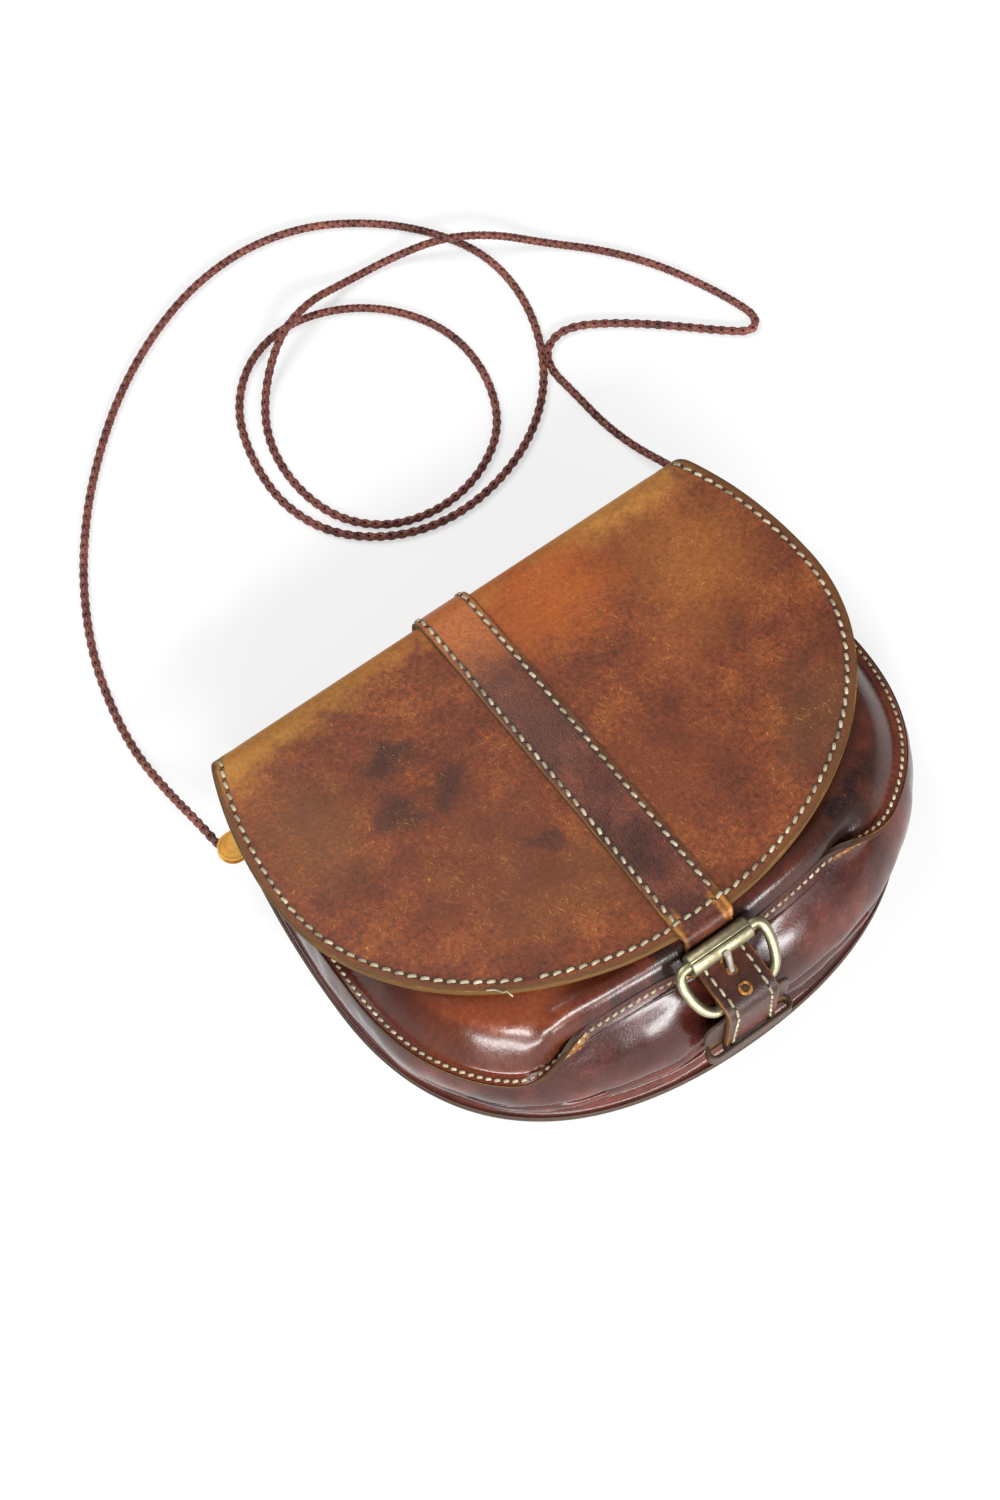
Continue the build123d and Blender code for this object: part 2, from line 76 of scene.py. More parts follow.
# Shoulder cord: four strips of soft reddish brown leather plaited round a thin core.
# It runs from a stopper knot inside the left of the pouch, over the floor, to the right one.
knot_reach, cord_drop, cord_height = 110.5, 28, 27
lying = 2.05                # the height of its line on the floor
over = lying + 8            # and where it crosses itself
cord_route = [              # mm across, mm behind the fold, and mm up where it isn't lying
    (-knot_reach, -cord_drop, cord_height), (-125.2, -cord_drop, cord_height), (-126, -9, 23.5),
    (-126.6, 14, 13), (-126.3, 38, 5), (-122.8, 61), (-115.5, 87), (-101.5, 115), (-83.5, 140),
    (-63.5, 161), (-40, 180.5), (-13, 196), (15, 206), (43, 208.5), (70, 202.5), (93, 188.5),
    (111, 170.5), (124, 148.5), (126.5, 124), (120, 99), (106, 76.5), (85, 60.5), (60, 52),
    (35.5, 51), (13, 58.5), (-5.5, 74.5), (-14, 97), (-12.5, 121.5), (-4.5, 145), (13, 162),
    (36, 167.5), (60, 160.5), (79, 145), (91, 122.5), (91, 97), (80.5, 73.5), (60.5, 60.5),
    (37.5, 56.8), (16, 62.8), (1, 78), (-5, 100), (-2.5, 124), (9, 144.5), (27.5, 159.8, over),
    (47, 166.8, over), (69, 169.2), (92, 167.5), (112, 158.8, over), (130.5, 147.5, over),
    (149, 134.5), (166, 118), (180, 99.5), (190, 80), (196.5, 64), (199.6, 52.3), (193.6, 47.7),
    (182.5, 56.8), (165.5, 72.5), (148, 86.8), (131.5, 96.2), (119.5, 94), (113.6, 84.5),
    (115.2, 68), (116.3, 50), (119.3, 32, 4.5), (123, 12.5, 13), (125, -9, 23.5),
    (125.2, -cord_drop, cord_height), (knot_reach, -cord_drop, cord_height),
]
cord_curve = bpy.data.curves.new("cord_line", "CURVE")
cord_curve.dimensions = "3D"
cord_curve.resolution_u = 24
spline = cord_curve.splines.new("NURBS")
spline.points.add(len(cord_route) - 1)
for point, (x, y, *up) in zip(spline.points, cord_route):
    point.co = (x * mm, fold_y + y * mm, (up[0] if up else lying) * mm, 1)
spline.order_u = 3
spline.use_endpoint_u = True
cord_line = bpy.data.objects.new("cord_line", cord_curve)
scene.collection.objects.link(cord_line)
cord_mesh = bpy.data.meshes.new_from_object(cord_line)
cord_points = np.array([v.co for v in cord_mesh.vertices])
bpy.data.objects.remove(cord_line)


def lengths_along(points):
    """How far along a polyline each of its points lies."""
    return np.concatenate([[0], np.cumsum(np.linalg.norm(np.diff(points, axis=0), axis=1))])


def read_off(places, known, table):
    """Rows of a table at these places, read between the places where its rows are known."""
    return np.stack([np.interp(places, known, column) for column in table.T], 1)


def unit(vectors):
    """The same directions, at length one."""
    return vectors / np.linalg.norm(vectors, axis=-1, keepdims=True)


def resample(points, step):
    """Even points along a polyline, first and last kept."""
    lengths = lengths_along(points)
    stops = np.linspace(0, lengths[-1], max(2, round(lengths[-1] / step) + 1))
    return read_off(stops, lengths, points), stops


def carried_sides(path):
    """Two side directions at each point of a path, turned as little as possible."""
    tangents = unit(np.gradient(path, axis=0))
    side = np.cross(tangents[0], (0, 0, 1))
    sides = []
    for tangent in tangents:
        side = unit(side - tangent * side.dot(tangent))
        sides.append(side)
    return np.array(sides), np.cross(tangents, sides)


def band_faces(rings, sides, closed=False):
    """Quads between neighbouring rings of points, and back to the first ring if closed."""
    return [(a * sides + s, a * sides + (s + 1) % sides,
             (a + 1) % rings * sides + (s + 1) % sides, (a + 1) % rings * sides + s)
            for a in range(rings if closed else rings - 1) for s in range(sides)]


def tube(path, radius_across, radius_out, across, out, sides=6, closed=False):
    """Points and faces of a tube of elliptical section round a path, capped unless closed."""
    turn = np.linspace(0, 2 * pi, sides, endpoint=False)[None, :, None]
    rings = (path[:, None] + np.cos(turn) * np.atleast_2d(across * radius_across)[:, None]
             + np.sin(turn) * np.atleast_2d(out * radius_out)[:, None])
    faces = band_faces(len(path), sides, closed)
    if not closed:
        last = (len(path) - 1) * sides
        faces += [tuple(reversed(range(sides))), tuple(range(last, last + sides))]
    return rings.reshape(-1, 3), faces


def carried_tube(path, radius, flatness=1.0, sides=6):
    """A tube whose section is carried along its path."""
    return tube(path, radius, radius * flatness, *carried_sides(path), sides)


def piece(name, groups, materials, body):
    """An object from (points, faces, material number) groups that rides on a body.
    Its flat attribute holds each point as given and its rim 9 mm everywhere; leather() sets them to
    where a point lay before bending and to the edge distance in mm."""
    points, faces, numbers = [], [], []
    for group_points, group_faces, number in groups:
        start = len(points)
        points.extend(map(tuple, group_points))
        faces.extend(tuple(start + i for i in face) for face in group_faces)
        numbers.extend([number] * len(group_faces))
    mesh = bpy.data.meshes.new(name)
    mesh.from_pydata(points, [], faces)
    for material in materials:
        mesh.materials.append(material)
    mesh.polygons.foreach_set("material_index", numbers)
    mesh.polygons.foreach_set("use_smooth", [True] * len(faces))
    mesh.update()
    flat = mesh.attributes.new("flat", "FLOAT_VECTOR", "POINT")
    flat.data.foreach_set("vector", np.array(points, float).ravel())
    mesh.attributes.new("rim", "FLOAT", "POINT").data.foreach_set("value", [9.0] * len(points))
    made = bpy.data.objects.new(name, mesh)
    scene.collection.objects.link(made)
    if body:
        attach(made, body)
    return made


def linear(code, alpha=1.0):
    """An sRGB hex colour as linear values."""
    values = [int(code[i:i + 2], 16) / 255 for i in (1, 3, 5)]
    return [v / 12.92 if v <= 0.04045 else ((v + 0.055) / 1.055) ** 2.4 for v in values] + [alpha]


def add(tree, kind, inputs=None, **settings):
    """Adds a node with its settings. An input is a value, a socket, or a node, which gives
    the first output that it has in use."""
    made = tree.nodes.new("ShaderNode" + kind)
    for key, value in settings.items():
        setattr(made, key, value)
    for key, value in (inputs or {}).items():
        if isinstance(value, bpy.types.Node):
            value = next(output for output in value.outputs if output.enabled)
        if isinstance(value, bpy.types.NodeSocket):
            tree.links.new(value, made.inputs[key])
        else:
            made.inputs[key].default_value = value
    return made


def new_material(name):
    """An empty node material and its tree."""
    material = bpy.data.materials.new(name)
    material.use_nodes = True
    material.node_tree.nodes.clear()
    return material, material.node_tree


def ramp_stops(ramp, stops):
    """Sets a colour ramp's stops from (position, hex colour)."""
    elements = ramp.color_ramp.elements
    while len(elements) > 1:
        elements.remove(elements[-1])
    elements[0].position = stops[0][0]
    elements[0].color = linear(stops[0][1])
    for position, code in stops[1:]:
        elements.new(position).color = linear(code)


def mottled(name, stops, patch, pit, bump, rough, metallic=0.0):
    """A finish for lace, thread and metal: patchy colour over fine relief. The colour's patch
    is its size, detail and roughness, pit is the relief's size and detail, bump its strength
    and depth, and rough one value, or two for the dark and the light patches."""
    material, tree = new_material(name)
    place = add(tree, "TexCoord").outputs["Object"]
    patches = add(tree, "TexNoise", {"Vector": place, "Scale": 1 / (patch[0] * mm),
                                     "Detail": patch[1], "Roughness": patch[2]})
    tone = add(tree, "ValToRGB", {"Fac": patches})
    ramp_stops(tone, stops)
    if isinstance(rough, tuple):
        rough = add(tree, "MapRange", {"Value": patches, 1: 0.35, 2: 0.65, 3: rough[0],
                                       4: rough[1]})
    pits = add(tree, "TexNoise", {"Vector": place, "Scale": 1 / (pit[0] * mm), "Detail": pit[1]})
    relief = add(tree, "Bump", {"Height": pits, "Strength": bump[0], "Distance": bump[1] * mm})
    shader = add(tree, "BsdfPrincipled", {"Base Color": tone, "Metallic": metallic,
                                          "Roughness": rough, "Normal": relief})
    add(tree, "OutputMaterial", {"Surface": shader})
    return material


def in_shade(name, code, rough):
    """A plain dull finish for what lies deep in a gap."""
    material, tree = new_material(name)
    shader = add(tree, "BsdfPrincipled", {"Base Color": linear(code), "Roughness": rough})
    add(tree, "OutputMaterial", {"Surface": shader})
    return material


# Plaited calf lace, dyed reddish brown: soft sheen on the crowns, darker between the strips.
cord_leather = mottled("plaited_calf_lace", [(0.3, "#4a2019"), (0.5, "#6e3a30"), (0.72, "#8a4e40")],
                       patch=(9, 4.0, 0.6), pit=(0.5, 2.0), bump=(0.25, 0.1), rough=0.42)
cord_core = in_shade("cord_core_in_shade", "#2a100c", 0.8)

braid_lay = 9 * mm          # one strip's full turn round the cord
strip_middle = 1.15 * mm    # from the cord's line to a strip's middle
strip_half_width, strip_half_height = 1.12 * mm, 0.56 * mm
strip_weave = 0.24 * mm     # how far a strip rises over its neighbour and dips under it
core_radius = 1.1 * mm
cord_path, cord_stops = resample(cord_points, braid_lay / 12)
sides, ups = carried_sides(cord_path)
strips = []
for turn_way in (1, -1):
    for start in (0, pi):
        angle = turn_way * 2 * pi * cord_stops / braid_lay + start
        away = np.cos(angle)[:, None] * sides + np.sin(angle)[:, None] * ups
        weave = turn_way * strip_weave * np.cos(4 * pi * cord_stops / braid_lay)
        line = cord_path + away * (strip_middle + weave)[:, None]
        along = unit(np.gradient(line, axis=0))
        strips.append((*tube(line, strip_half_width, strip_half_height,
                             np.cross(along, away), away), 0))
strips.append((*carried_tube(resample(cord_points, 3 * mm)[0], core_radius), 1))
cord = piece("shoulder_cord_braid", strips, [cord_leather, cord_core], "bag_body")
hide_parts("shoulder_cord")

# Stopper knots: each end of the cord is tied in a tight overhand knot inside the pouch.
# The knot can't pull back through its hole in the gusset.
knot_size, knot_strand = np.array([2.6, 1, 1]) * mm, 1.4583 * mm
knot_in = 4.1 * mm          # from the cord's end to the knot's middle
for name, way in (("left", -1), ("right", 1)):
    turn = np.linspace(0, 2 * pi, 64, endpoint=False)
    centre = np.array([way * (knot_reach * mm - knot_in), fold_y - cord_drop * mm,
                       cord_height * mm])
    loop = np.stack([way * np.sin(3 * turn) * 0.55, np.sin(turn) + 2 * np.sin(2 * turn),
                     np.cos(turn) - 2 * np.cos(2 * turn)], 1)
    line = np.vstack([loop, loop[:1]]) * knot_size + centre
    knot = piece(f"stopper_knot_{name}", [(*carried_tube(line, knot_strand, sides=8), 0)],
                 [cord_leather], "bag_body")
    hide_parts(f"cord_knot_{name}")

# Flap and spine: one piece of 3.3 mm bridle leather. It is sewn to the back panel along
# its lower edge, stands up behind the pouch, turns over the fold and ends in the round flap.
flap_thickness = 3.3 * mm
joint_at = {joint["name"]: np.array(joint["pos_m"]) for joint in frame["joints"]}
fold_height = joint_at["flap_hinge"][2]
flap_rise = radians(4)
flap_half, flap_top_half, flap_shoulder, flap_length = 128 * mm, 113 * mm, 69 * mm, 170 * mm
panel_thickness = 2.2 * mm
edge_step = 1.6 * mm        # between the points along a cut edge


def swing(centre, radius, start, end, count=24):
    """Points on an arc."""
    return [centre + radius * np.array([cos(a), sin(a)]) for a in np.linspace(start, end, count)]


def rounded(corners, radii, step=0.5 * mm):
    """Even points along a line whose corners are rounded with these radii."""
    corners = [np.array(corner, float) for corner in corners]
    points = [corners[0]]
    for before, corner, after, radius in zip(corners, corners[1:], corners[2:], radii):
        one, two = unit(before - corner), unit(after - corner)
        half = acos(np.clip(one.dot(two), -1, 1)) / 2
        centre = corner + unit(one + two) * radius / sin(half)
        first, last = corner + one * radius / np.tan(half), corner + two * radius / np.tan(half)
        start, end = atan2(*(first - centre)[::-1]), atan2(*(last - centre)[::-1])
        end += 2 * pi * round((start - end) / (2 * pi))
        points += swing(centre, radius, start, end, 16)
    return resample(np.array(points + [corners[-1]]), step)[0]


class Run:
    """The outer face of a leather piece seen from its edge: points (y, z) and their lengths."""

    def __init__(self, points):
        self.points = np.array(points)
        self.lengths = lengths_along(self.points)
        self.length = self.lengths[-1]
        self.tangents = unit(np.gradient(self.points, axis=0))

    def at(self, s):
        """Point and outward normal at this length, straight on past both ends."""
        inner = np.clip(s, 0, self.length)
        y, z = (np.interp(inner, self.lengths, c) for c in self.points.T)
        ty, tz = (np.interp(inner, self.lengths, c) for c in self.tangents.T)
        size = np.hypot(ty, tz)
        ty, tz = ty / size, tz / size
        return y + (s - inner) * ty, z + (s - inner) * tz, tz, -ty

    def bent(self, x, s, height):
        """Points this far across, along the run and above it."""
        y, z, ny, nz = self.at(s)
        return np.stack([x, y + ny * height, z + nz * height], 1)


def d_curve(half_width, top_half, shoulder, length, roundness, spacing=edge_step):
    """Right side, round end and left side of a D: x across, y the distance below the fold."""
    lean = half_width - top_half
    radius = (lean ** 2 + shoulder ** 2) / (2 * lean)
    angles = np.linspace(-asin(shoulder / radius), 0, 40)
    side = np.stack([half_width - radius + radius * np.cos(angles),
                     shoulder + radius * np.sin(angles)], 1)
    t = np.linspace(0, 1, 120)[1:, None]
    depth, reach = roundness * (length - shoulder), roundness * half_width
    corners = np.array([(half_width, shoulder), (half_width, shoulder + depth),
                        (reach, length), (0, length)])
    bend = sum(k * t ** i * (1 - t) ** (3 - i) * corners[i] for i, k in enumerate((1, 3, 3, 1)))
    right = np.vstack([side, bend])
    left = right[-2::-1] * [-1, 1]
    return resample(np.vstack([right, left]), spacing)[0]


def outward(points, closed=True):
    """Outward normals of an outline drawn with its leather on the left hand, y down."""
    if closed:
        tangent = unit(np.roll(points, -1, 0) - points) + unit(points - np.roll(points, 1, 0))
    else:
        tangent = np.gradient(points, axis=0)
    tangent = unit(tangent)
    return np.stack([tangent[:, 1], -tangent[:, 0]], 1)


def edge_distance(points, outline, closed=True):
    """Distance of each point to an outline, and the nearest place along it."""
    starts = outline if closed else outline[:-1]
    ends = np.roll(outline, -1, 0) if closed else outline[1:]
    legs = ends - starts
    best = np.full(len(points), np.inf)
    where = np.zeros(len(points))
    for number, (start, leg) in enumerate(zip(starts, legs)):
        share = np.clip(((points - start) @ leg) / leg.dot(leg), 0, 1)
        gap = np.linalg.norm(points - start - share[:, None] * leg, axis=1)
        nearer = gap < best
        best[nearer] = gap[nearer]
        where[nearer] = number + share[nearer]
    return best, where


def inside(points, outline):
    """True for each point inside a closed outline."""
    result = np.zeros(len(points), bool)
    for (x0, y0), (x1, y1) in zip(outline, np.roll(outline, -1, 0)):
        crosses = (points[:, 1] < y0) != (points[:, 1] < y1)
        with np.errstate(divide="ignore", invalid="ignore"):
            at = x0 + (points[:, 1] - y0) * (x1 - x0) / (y1 - y0)
        result ^= crosses & (points[:, 0] < at)
    return result


def cut_leather(outline, ring_insets, field):
    """Triangles of a flat cut piece: rings inside its edge, and an even field within them."""
    normals = outward(outline)
    rings = [outline - normals * inset for inset in ring_insets]
    low, high = outline.min(0), outline.max(0)
    columns = np.arange(low[0], high[0], field)
    rows = np.arange(low[1], high[1], field * sqrt(3) / 2)
    grid = np.array([(x + (field / 2 if number % 2 else 0), y)
                     for number, y in enumerate(rows) for x in columns])
    grid = grid[inside(grid, outline)]
    gap, _ = edge_distance(grid, outline)
    grid = grid[gap > ring_insets[-1] + 0.7 * field]
    points = np.vstack(rings + [grid])
    count = len(outline)
    edges = [(r * count + i, r * count + (i + 1) % count)
             for r in range(len(rings)) for i in range(count)]
    done = geometry.delaunay_2d_cdt([Vector(p) for p in points], edges, [], 1, 1e-9)
    flat = np.array([tuple(v) for v in done[0]])
    first_ring = [0] * count
    for number, origins in enumerate(done[3]):
        for origin in origins:
            if origin < count:
                first_ring[origin] = number
    return flat, [tuple(f) for f in done[2]], first_ring


def leather(name, outline, thickness, place, materials, body,
            ring_insets=(0.45, 1.0, 1.8, 2.6, 3.4, 4.2, 5.2), field=3 * mm, edge_round=0.45 * mm):
    """A piece cut from flat leather and bent: place() turns x, y and height into 3-D points.
    Materials are grain side, cut edge and flesh side; the rim attribute is the edge distance."""
    outline = np.array(outline)
    insets = [edge_round] + [i * mm for i in ring_insets if i * mm > edge_round]
    flat, triangles, ring = cut_leather(outline, insets, field)
    normals, count, size = outward(outline), len(flat), len(outline)
    corner = 0.3 * edge_round
    layers = [(flat, np.zeros(count)), (flat, np.full(count, -thickness))]
    for inset, depth in ((corner, corner), (0, edge_round), (0, thickness - edge_round),
                         (corner, thickness - corner)):
        layers.append((outline - normals * inset, np.full(size, -depth)))
    points = np.vstack([place(p[:, 0], p[:, 1], h) for p, h in layers])

    middle = triangles[len(triangles) // 2]
    a, b, c, under = (Vector(points[i]) for i in (*middle, middle[0] + count))
    if (b - a).cross(c - a).dot(a - under) < 0:
        triangles = [t[::-1] for t in triangles]
    flesh = [tuple(i + count for i in t[::-1]) for t in triangles]
    edge_rings = np.arange(2 * count, 2 * count + 4 * size).reshape(4, size).tolist()
    loops = [ring, *edge_rings, [i + count for i in ring]]
    sides = [(upper[i], upper[(i + 1) % size], lower[(i + 1) % size], lower[i])
             for upper, lower in zip(loops, loops[1:]) for i in range(size)]
    third = size // 3
    a, b, c, _ = (Vector(points[i]) for i in sides[2 * size + third])
    beyond = outline[third] + normals[third] * mm
    beyond = Vector(place(beyond[:1], beyond[1:], np.zeros(1))[0])
    if (b - a).cross(c - a).dot(beyond - Vector(points[ring[third]])) < 0:
        sides = [s[::-1] for s in sides]

    made = piece(name, [(points, triangles + sides + flesh, 0)], materials, body)
    numbers = [0] * len(triangles) + [1] * len(sides) + [2] * len(flesh)
    made.data.polygons.foreach_set("material_index", numbers)
    gap, _ = edge_distance(flat, outline)
    rim = np.concatenate([gap, gap, np.zeros(4 * size)]) / mm
    made.data.attributes["rim"].data.foreach_set("value", rim)
    laid = np.vstack([np.column_stack([p, h]) for p, h in layers])
    made.data.attributes["flat"].data.foreach_set("vector", laid.ravel())
    return made


def wave(x, y, size, seed):
    """Smooth random height between -1 and 1 over patches of this size."""
    return np.array([noise.noise(Vector((a / size, b / size, seed))) for a, b in zip(x, y)])


def rise(value, start, span):
    """0 up to start in mm, 1 from span further on, and an even curve between."""
    share = np.clip((value - start * mm) / (span * mm), 0, 1)
    return share * share * (3 - 2 * share)


def hump(value, middle, half, power=2):
    """1 at the middle in mm, falling away to both sides over half."""
    return np.exp(-((value - middle * mm) / (half * mm)) ** power)


def finish(name, stops, patch, rough, rim_colour, rim_width, speckle=0.12, grain=0.8 * mm,
           relief=0.1 * mm, coat=0.0, gloss=0.5, marks=(), start=0.0, scratches=None, groove_shade=None):
    """A leather finish: mottled dye, fine speckle, marks, scratches, grain, a rubbed rim, and a
    dark band of painted shade along a groove.
    A mark is a stain, a worn place, or a patch of painted light or shade: its place and size in mm,
    turn in degrees, colour and strength."""
    material, tree = new_material(name)
    spot = add(tree, "Attribute", attribute_name="flat").outputs["Vector"]
    rim = add(tree, "Attribute", attribute_name="rim").outputs["Fac"]
    broad = add(tree, "TexNoise", {"Vector": spot, "Scale": 1 / patch, "Detail": 7.0,
                                   "Roughness": 0.62})
    tone = add(tree, "ValToRGB", {"Fac": broad})
    ramp_stops(tone, stops)
    fine = add(tree, "TexNoise", {"Vector": spot, "Scale": 1 / (2.2 * mm), "Detail": 8.0,
                                  "Roughness": 0.75})
    shade = add(tree, "MapRange", {"Value": fine, 1: 0.3, 2: 0.7, 3: 1 - 2 * speckle,
                                   4: 1 + 2 * speckle})
    colour = add(tree, "HueSaturation", {"Color": tone, "Value": shade})

    # Each layer over the dye is how much of it shows and its colour, the lowest first.
    layers = []
    warp = add(tree, "TexNoise", {"Vector": spot, "Scale": 1 / (14 * mm), "Detail": 6.0,
                                  "Roughness": 0.7}).outputs["Color"]
    moved = add(tree, "VectorMath", {0: warp, 1: (0.5, 0.5, 0.5)}, operation="SUBTRACT")
    spread = add(tree, "VectorMath", {0: moved, "Scale": 34 * mm}, operation="SCALE")
    uneven = add(tree, "VectorMath", {0: spot, 1: spread}, operation="ADD")
    patchy = add(tree, "MapRange", {"Value": fine, 1: 0.36, 2: 0.62, 3: 0.6, 4: 1.15})
    for x, drop, half_long, half_wide, turn, code, strength in marks:
        near = add(tree, "Mapping", {
            "Vector": uneven, "Location": (x * mm, start + drop * mm, 0),
            "Rotation": (0, 0, radians(turn)), "Scale": (half_long * mm, half_wide * mm, 1),
        }, vector_type="TEXTURE")
        reach = add(tree, "VectorMath", {0: near}, operation="LENGTH")
        share = add(tree, "MapRange", {"Value": reach, 1: 0.25, 2: 1.15, 3: strength, 4: 0.0},
                    interpolation_type="SMOOTHSTEP")
        share = add(tree, "Math", {0: share, 1: patchy}, operation="MULTIPLY", use_clamp=True)
        layers.append((share, code))
    if scratches:
        code, strength, turn = scratches
        worn = add(tree, "MapRange", {"Value": broad, 1: 0.4, 2: 0.6})
        for long, thin, way, low in ((6, 0.7, turn, 0.62), (3, 1.0, turn + 50, 0.62),
                                     (4, 0.6, turn - 65, 0.63)):
            lined = add(tree, "Mapping", {"Vector": spot, "Rotation": (0, 0, radians(way)),
                                          "Scale": (long * mm, thin * mm, 1)},
                        vector_type="TEXTURE")
            line = add(tree, "TexNoise", {"Vector": lined, "Scale": 1.0, "Detail": 3.0,
                                          "Roughness": 0.6})
            kept = add(tree, "MapRange", {"Value": line, 1: low, 2: low + 0.09, 3: 0.0,
                                          4: strength})
            layers.append((add(tree, "Math", {0: kept, 1: worn}, operation="MULTIPLY"), code))
    # The groove band is painted shade: a dark band at this distance in from the edge, where the
    # shade of a groove would fall.
    if groove_shade:
        inset, core, reach, strength = groove_shade
        off = add(tree, "Math", {0: rim, 1: inset}, operation="SUBTRACT")
        size = add(tree, "Math", {0: off}, operation="ABSOLUTE")
        share = add(tree, "MapRange", {"Value": size, 1: core, 2: reach, 3: strength, 4: 0.0},
                    interpolation_type="SMOOTHSTEP")
        layers.append((share, "#26150f"))
    rubbed = add(tree, "Math", {0: fine, 1: rim_width * 2}, operation="MULTIPLY")
    near = add(tree, "Math", {0: rim, 1: rubbed}, operation="SUBTRACT")
    share = add(tree, "MapRange", {"Value": near, 1: -0.3 * rim_width, 2: 0.4 * rim_width,
                                   3: 1.0, 4: 0.0})
    layers.append((share, rim_colour))
    for share, code in layers:
        colour = add(tree, "Mix", {0: share, 6: colour, 7: linear(code)}, data_type="RGBA")

    cells = add(tree, "TexVoronoi", {"Vector": spot, "Scale": 1 / grain})
    height = add(tree, "Math", {0: cells, 1: fine}, operation="ADD")
    bumps = add(tree, "Bump", {"Height": height, "Strength": 0.6, "Distance": relief})
    uneven_gloss = add(tree, "MapRange", {"Value": fine, 1: 0.3, 2: 0.7, 3: rough - 0.07,
                                          4: rough + 0.1})
    shader = add(tree, "BsdfPrincipled", {
        "Base Color": colour, "Roughness": uneven_gloss, "Specular IOR Level": gloss,
        "Coat Weight": coat, "Coat Roughness": 0.14, "Normal": bumps})
    add(tree, "OutputMaterial", {"Surface": shader})
    return material


fold_radius = 8 * mm
flap_tip = (fold_y - flap_length * cos(flap_rise), fold_height + flap_length * sin(flap_rise))
flap_run = Run(rounded([(fold_y - 20 * mm, panel_thickness), (fold_y, panel_thickness),
                        (fold_y, fold_height), flap_tip], [4 * mm, fold_radius]))
flap_start = flap_run.length - flap_length     # where the D's straight top would lie


def flap_lift(x, drop):
    """How far the worn flap bulges off its plane: over the full pouch, and in slow waves."""
    full = 2.2 * mm * (1 - (x / flap_half) ** 2) * np.sin(pi * np.clip(drop / flap_length, 0, 1))
    uneven = 0.7 * mm * wave(x, drop, 55 * mm, 3.1) + 0.25 * mm * wave(x, drop, 20 * mm, 7.7)
    return (full + uneven) * rise(drop, 0, 25)


def flap_place(x, s, height):
    return flap_run.bent(x, s, height + flap_lift(x, s - flap_start))


flap_d = d_curve(flap_half, flap_top_half, flap_shoulder, flap_length, 0.552) + [0, flap_start]
spine_side = [(flap_top_half, flap_start), (107 * mm, flap_start - 6 * mm), (106 * mm, 24 * mm),
              (100 * mm, 16 * mm), (100 * mm, 0)]
spine_line = rounded([(-x, y) for x, y in spine_side] + spine_side[::-1], [3 * mm] * 8, edge_step)
flap_outline = np.vstack([flap_d, spine_line[1:-1]])

# Bridle leather, tanned with bark and waxed: a dry chestnut face with golden rubbed places
# along the fold, old dark stains, and pale short scratches.
golden, orange, stain, dusk = "#a8732c", "#a8541c", "#3a2118", "#5e2f1a"
flap_marks = [
    (-116, 2, 28, 24, 0, golden, 0.85), (-75, 0, 60, 17, 0, golden, 0.8),
    (0, 0, 60, 13, 0, "#b0702e", 0.8), (80, 0, 50, 18, 0, "#b67c36", 0.9),
    (28, 22, 48, 30, 0, orange, 0.8), (88, 40, 34, 40, 0, "#9a5c26", 0.55),
    (-100, 50, 24, 34, 0, "#6e4622", 0.5), (-30, 128, 50, 26, 0, "#6c4020", 0.5),
    (86, 128, 34, 22, -40, "#4f3320", 0.65), (20, 110, 40, 26, 0, "#6e351b", 0.6),
    (-58, 44, 17, 9, 20, stain, 0.95), (-47, 66, 14, 9, -15, stain, 0.9),
    (-70, 64, 10, 12, 0, stain, 0.9), (-32, 106, 5, 13, -60, stain, 1.0),
    (-55, 98, 40, 36, 0, dusk, 0.5), (60, 70, 26, 20, 0, "#8a4a24", 0.4),
]
# The groove band along the edge stitches is painted shade.
flap_leather = finish("chestnut_bridle_leather",
                      [(0.28, "#522717"), (0.42, "#632f19"), (0.52, "#6f361b"),
                       (0.64, "#804320"), (0.78, "#965d2b")],
                      26 * mm, 0.55, "#5e3c1c", 2.0, speckle=0.34, grain=0.9 * mm, relief=0.14 * mm,
                      gloss=0.3, marks=flap_marks, start=flap_start,
                      scratches=("#b8803c", 0.8, 62), groove_shade=(4.0, 0.5, 1.3, 0.5))
raw_edge = finish("raw_cut_edge", [(0.34, "#2e1e0e"), (0.46, "#4f3518"), (0.57, "#74501f"),
                                   (0.68, "#a8742e")],
                  16 * mm, 0.75, "#5a3e1c", 0.1, speckle=0.3, grain=0.5 * mm, gloss=0.25)
dark_edge = finish("oiled_dark_edge", [(0.3, "#20150d"), (0.5, "#3c2817"), (0.7, "#634522")],
                   7 * mm, 0.6, "#3c2817", 0.1, speckle=0.25)
flesh_side = finish("suede_flesh_side", [(0.3, "#5a3a20"), (0.5, "#744d2c"), (0.7, "#8a6038")],
                    12 * mm, 0.9, "#8a6243", 0.1, speckle=0.2, grain=0.5 * mm, relief=0.2 * mm,
                    gloss=0.2)

flap = leather("flap_and_spine", flap_outline, flap_thickness, flap_place,
               [flap_leather, raw_edge, flesh_side], None)
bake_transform(flap)
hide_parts("flap_panel", "flap_spine")

# Strap: a straight strip of dark bridle leather, 24.5 mm wide, sewn up the spine and down the
# middle of the flap. Its free end passes under the roller, over the bar and into the keeper.
strap_thickness, strap_half, strap_x = 2.4 * mm, 12.25 * mm, -3 * mm
roller_low, roller_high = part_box("buckle_roller")
roller = np.array([(roller_low.y + roller_high.y) / 2, (roller_low.z + roller_high.z) / 2])
roller_radius = (roller_high.z - roller_low.z) / 2
hinge = joint_at["buckle_pivot"][1:]
slide_gap = 0.25 * mm       # between the strap and the metal it passes over
chape_radius = 4.1 * mm
round_roller = roller_radius + slide_gap
round_hinge = chape_radius + slide_gap + strap_thickness
bar_gap = np.linalg.norm(roller - hinge)
tilt = atan2(*(roller - hinge)[::-1])
strap_turn = 173.6 * mm     # down the flap, where the strap leaves its plane for the roller
pinch_at = 182 * mm         # and where the buckle pinches it narrow


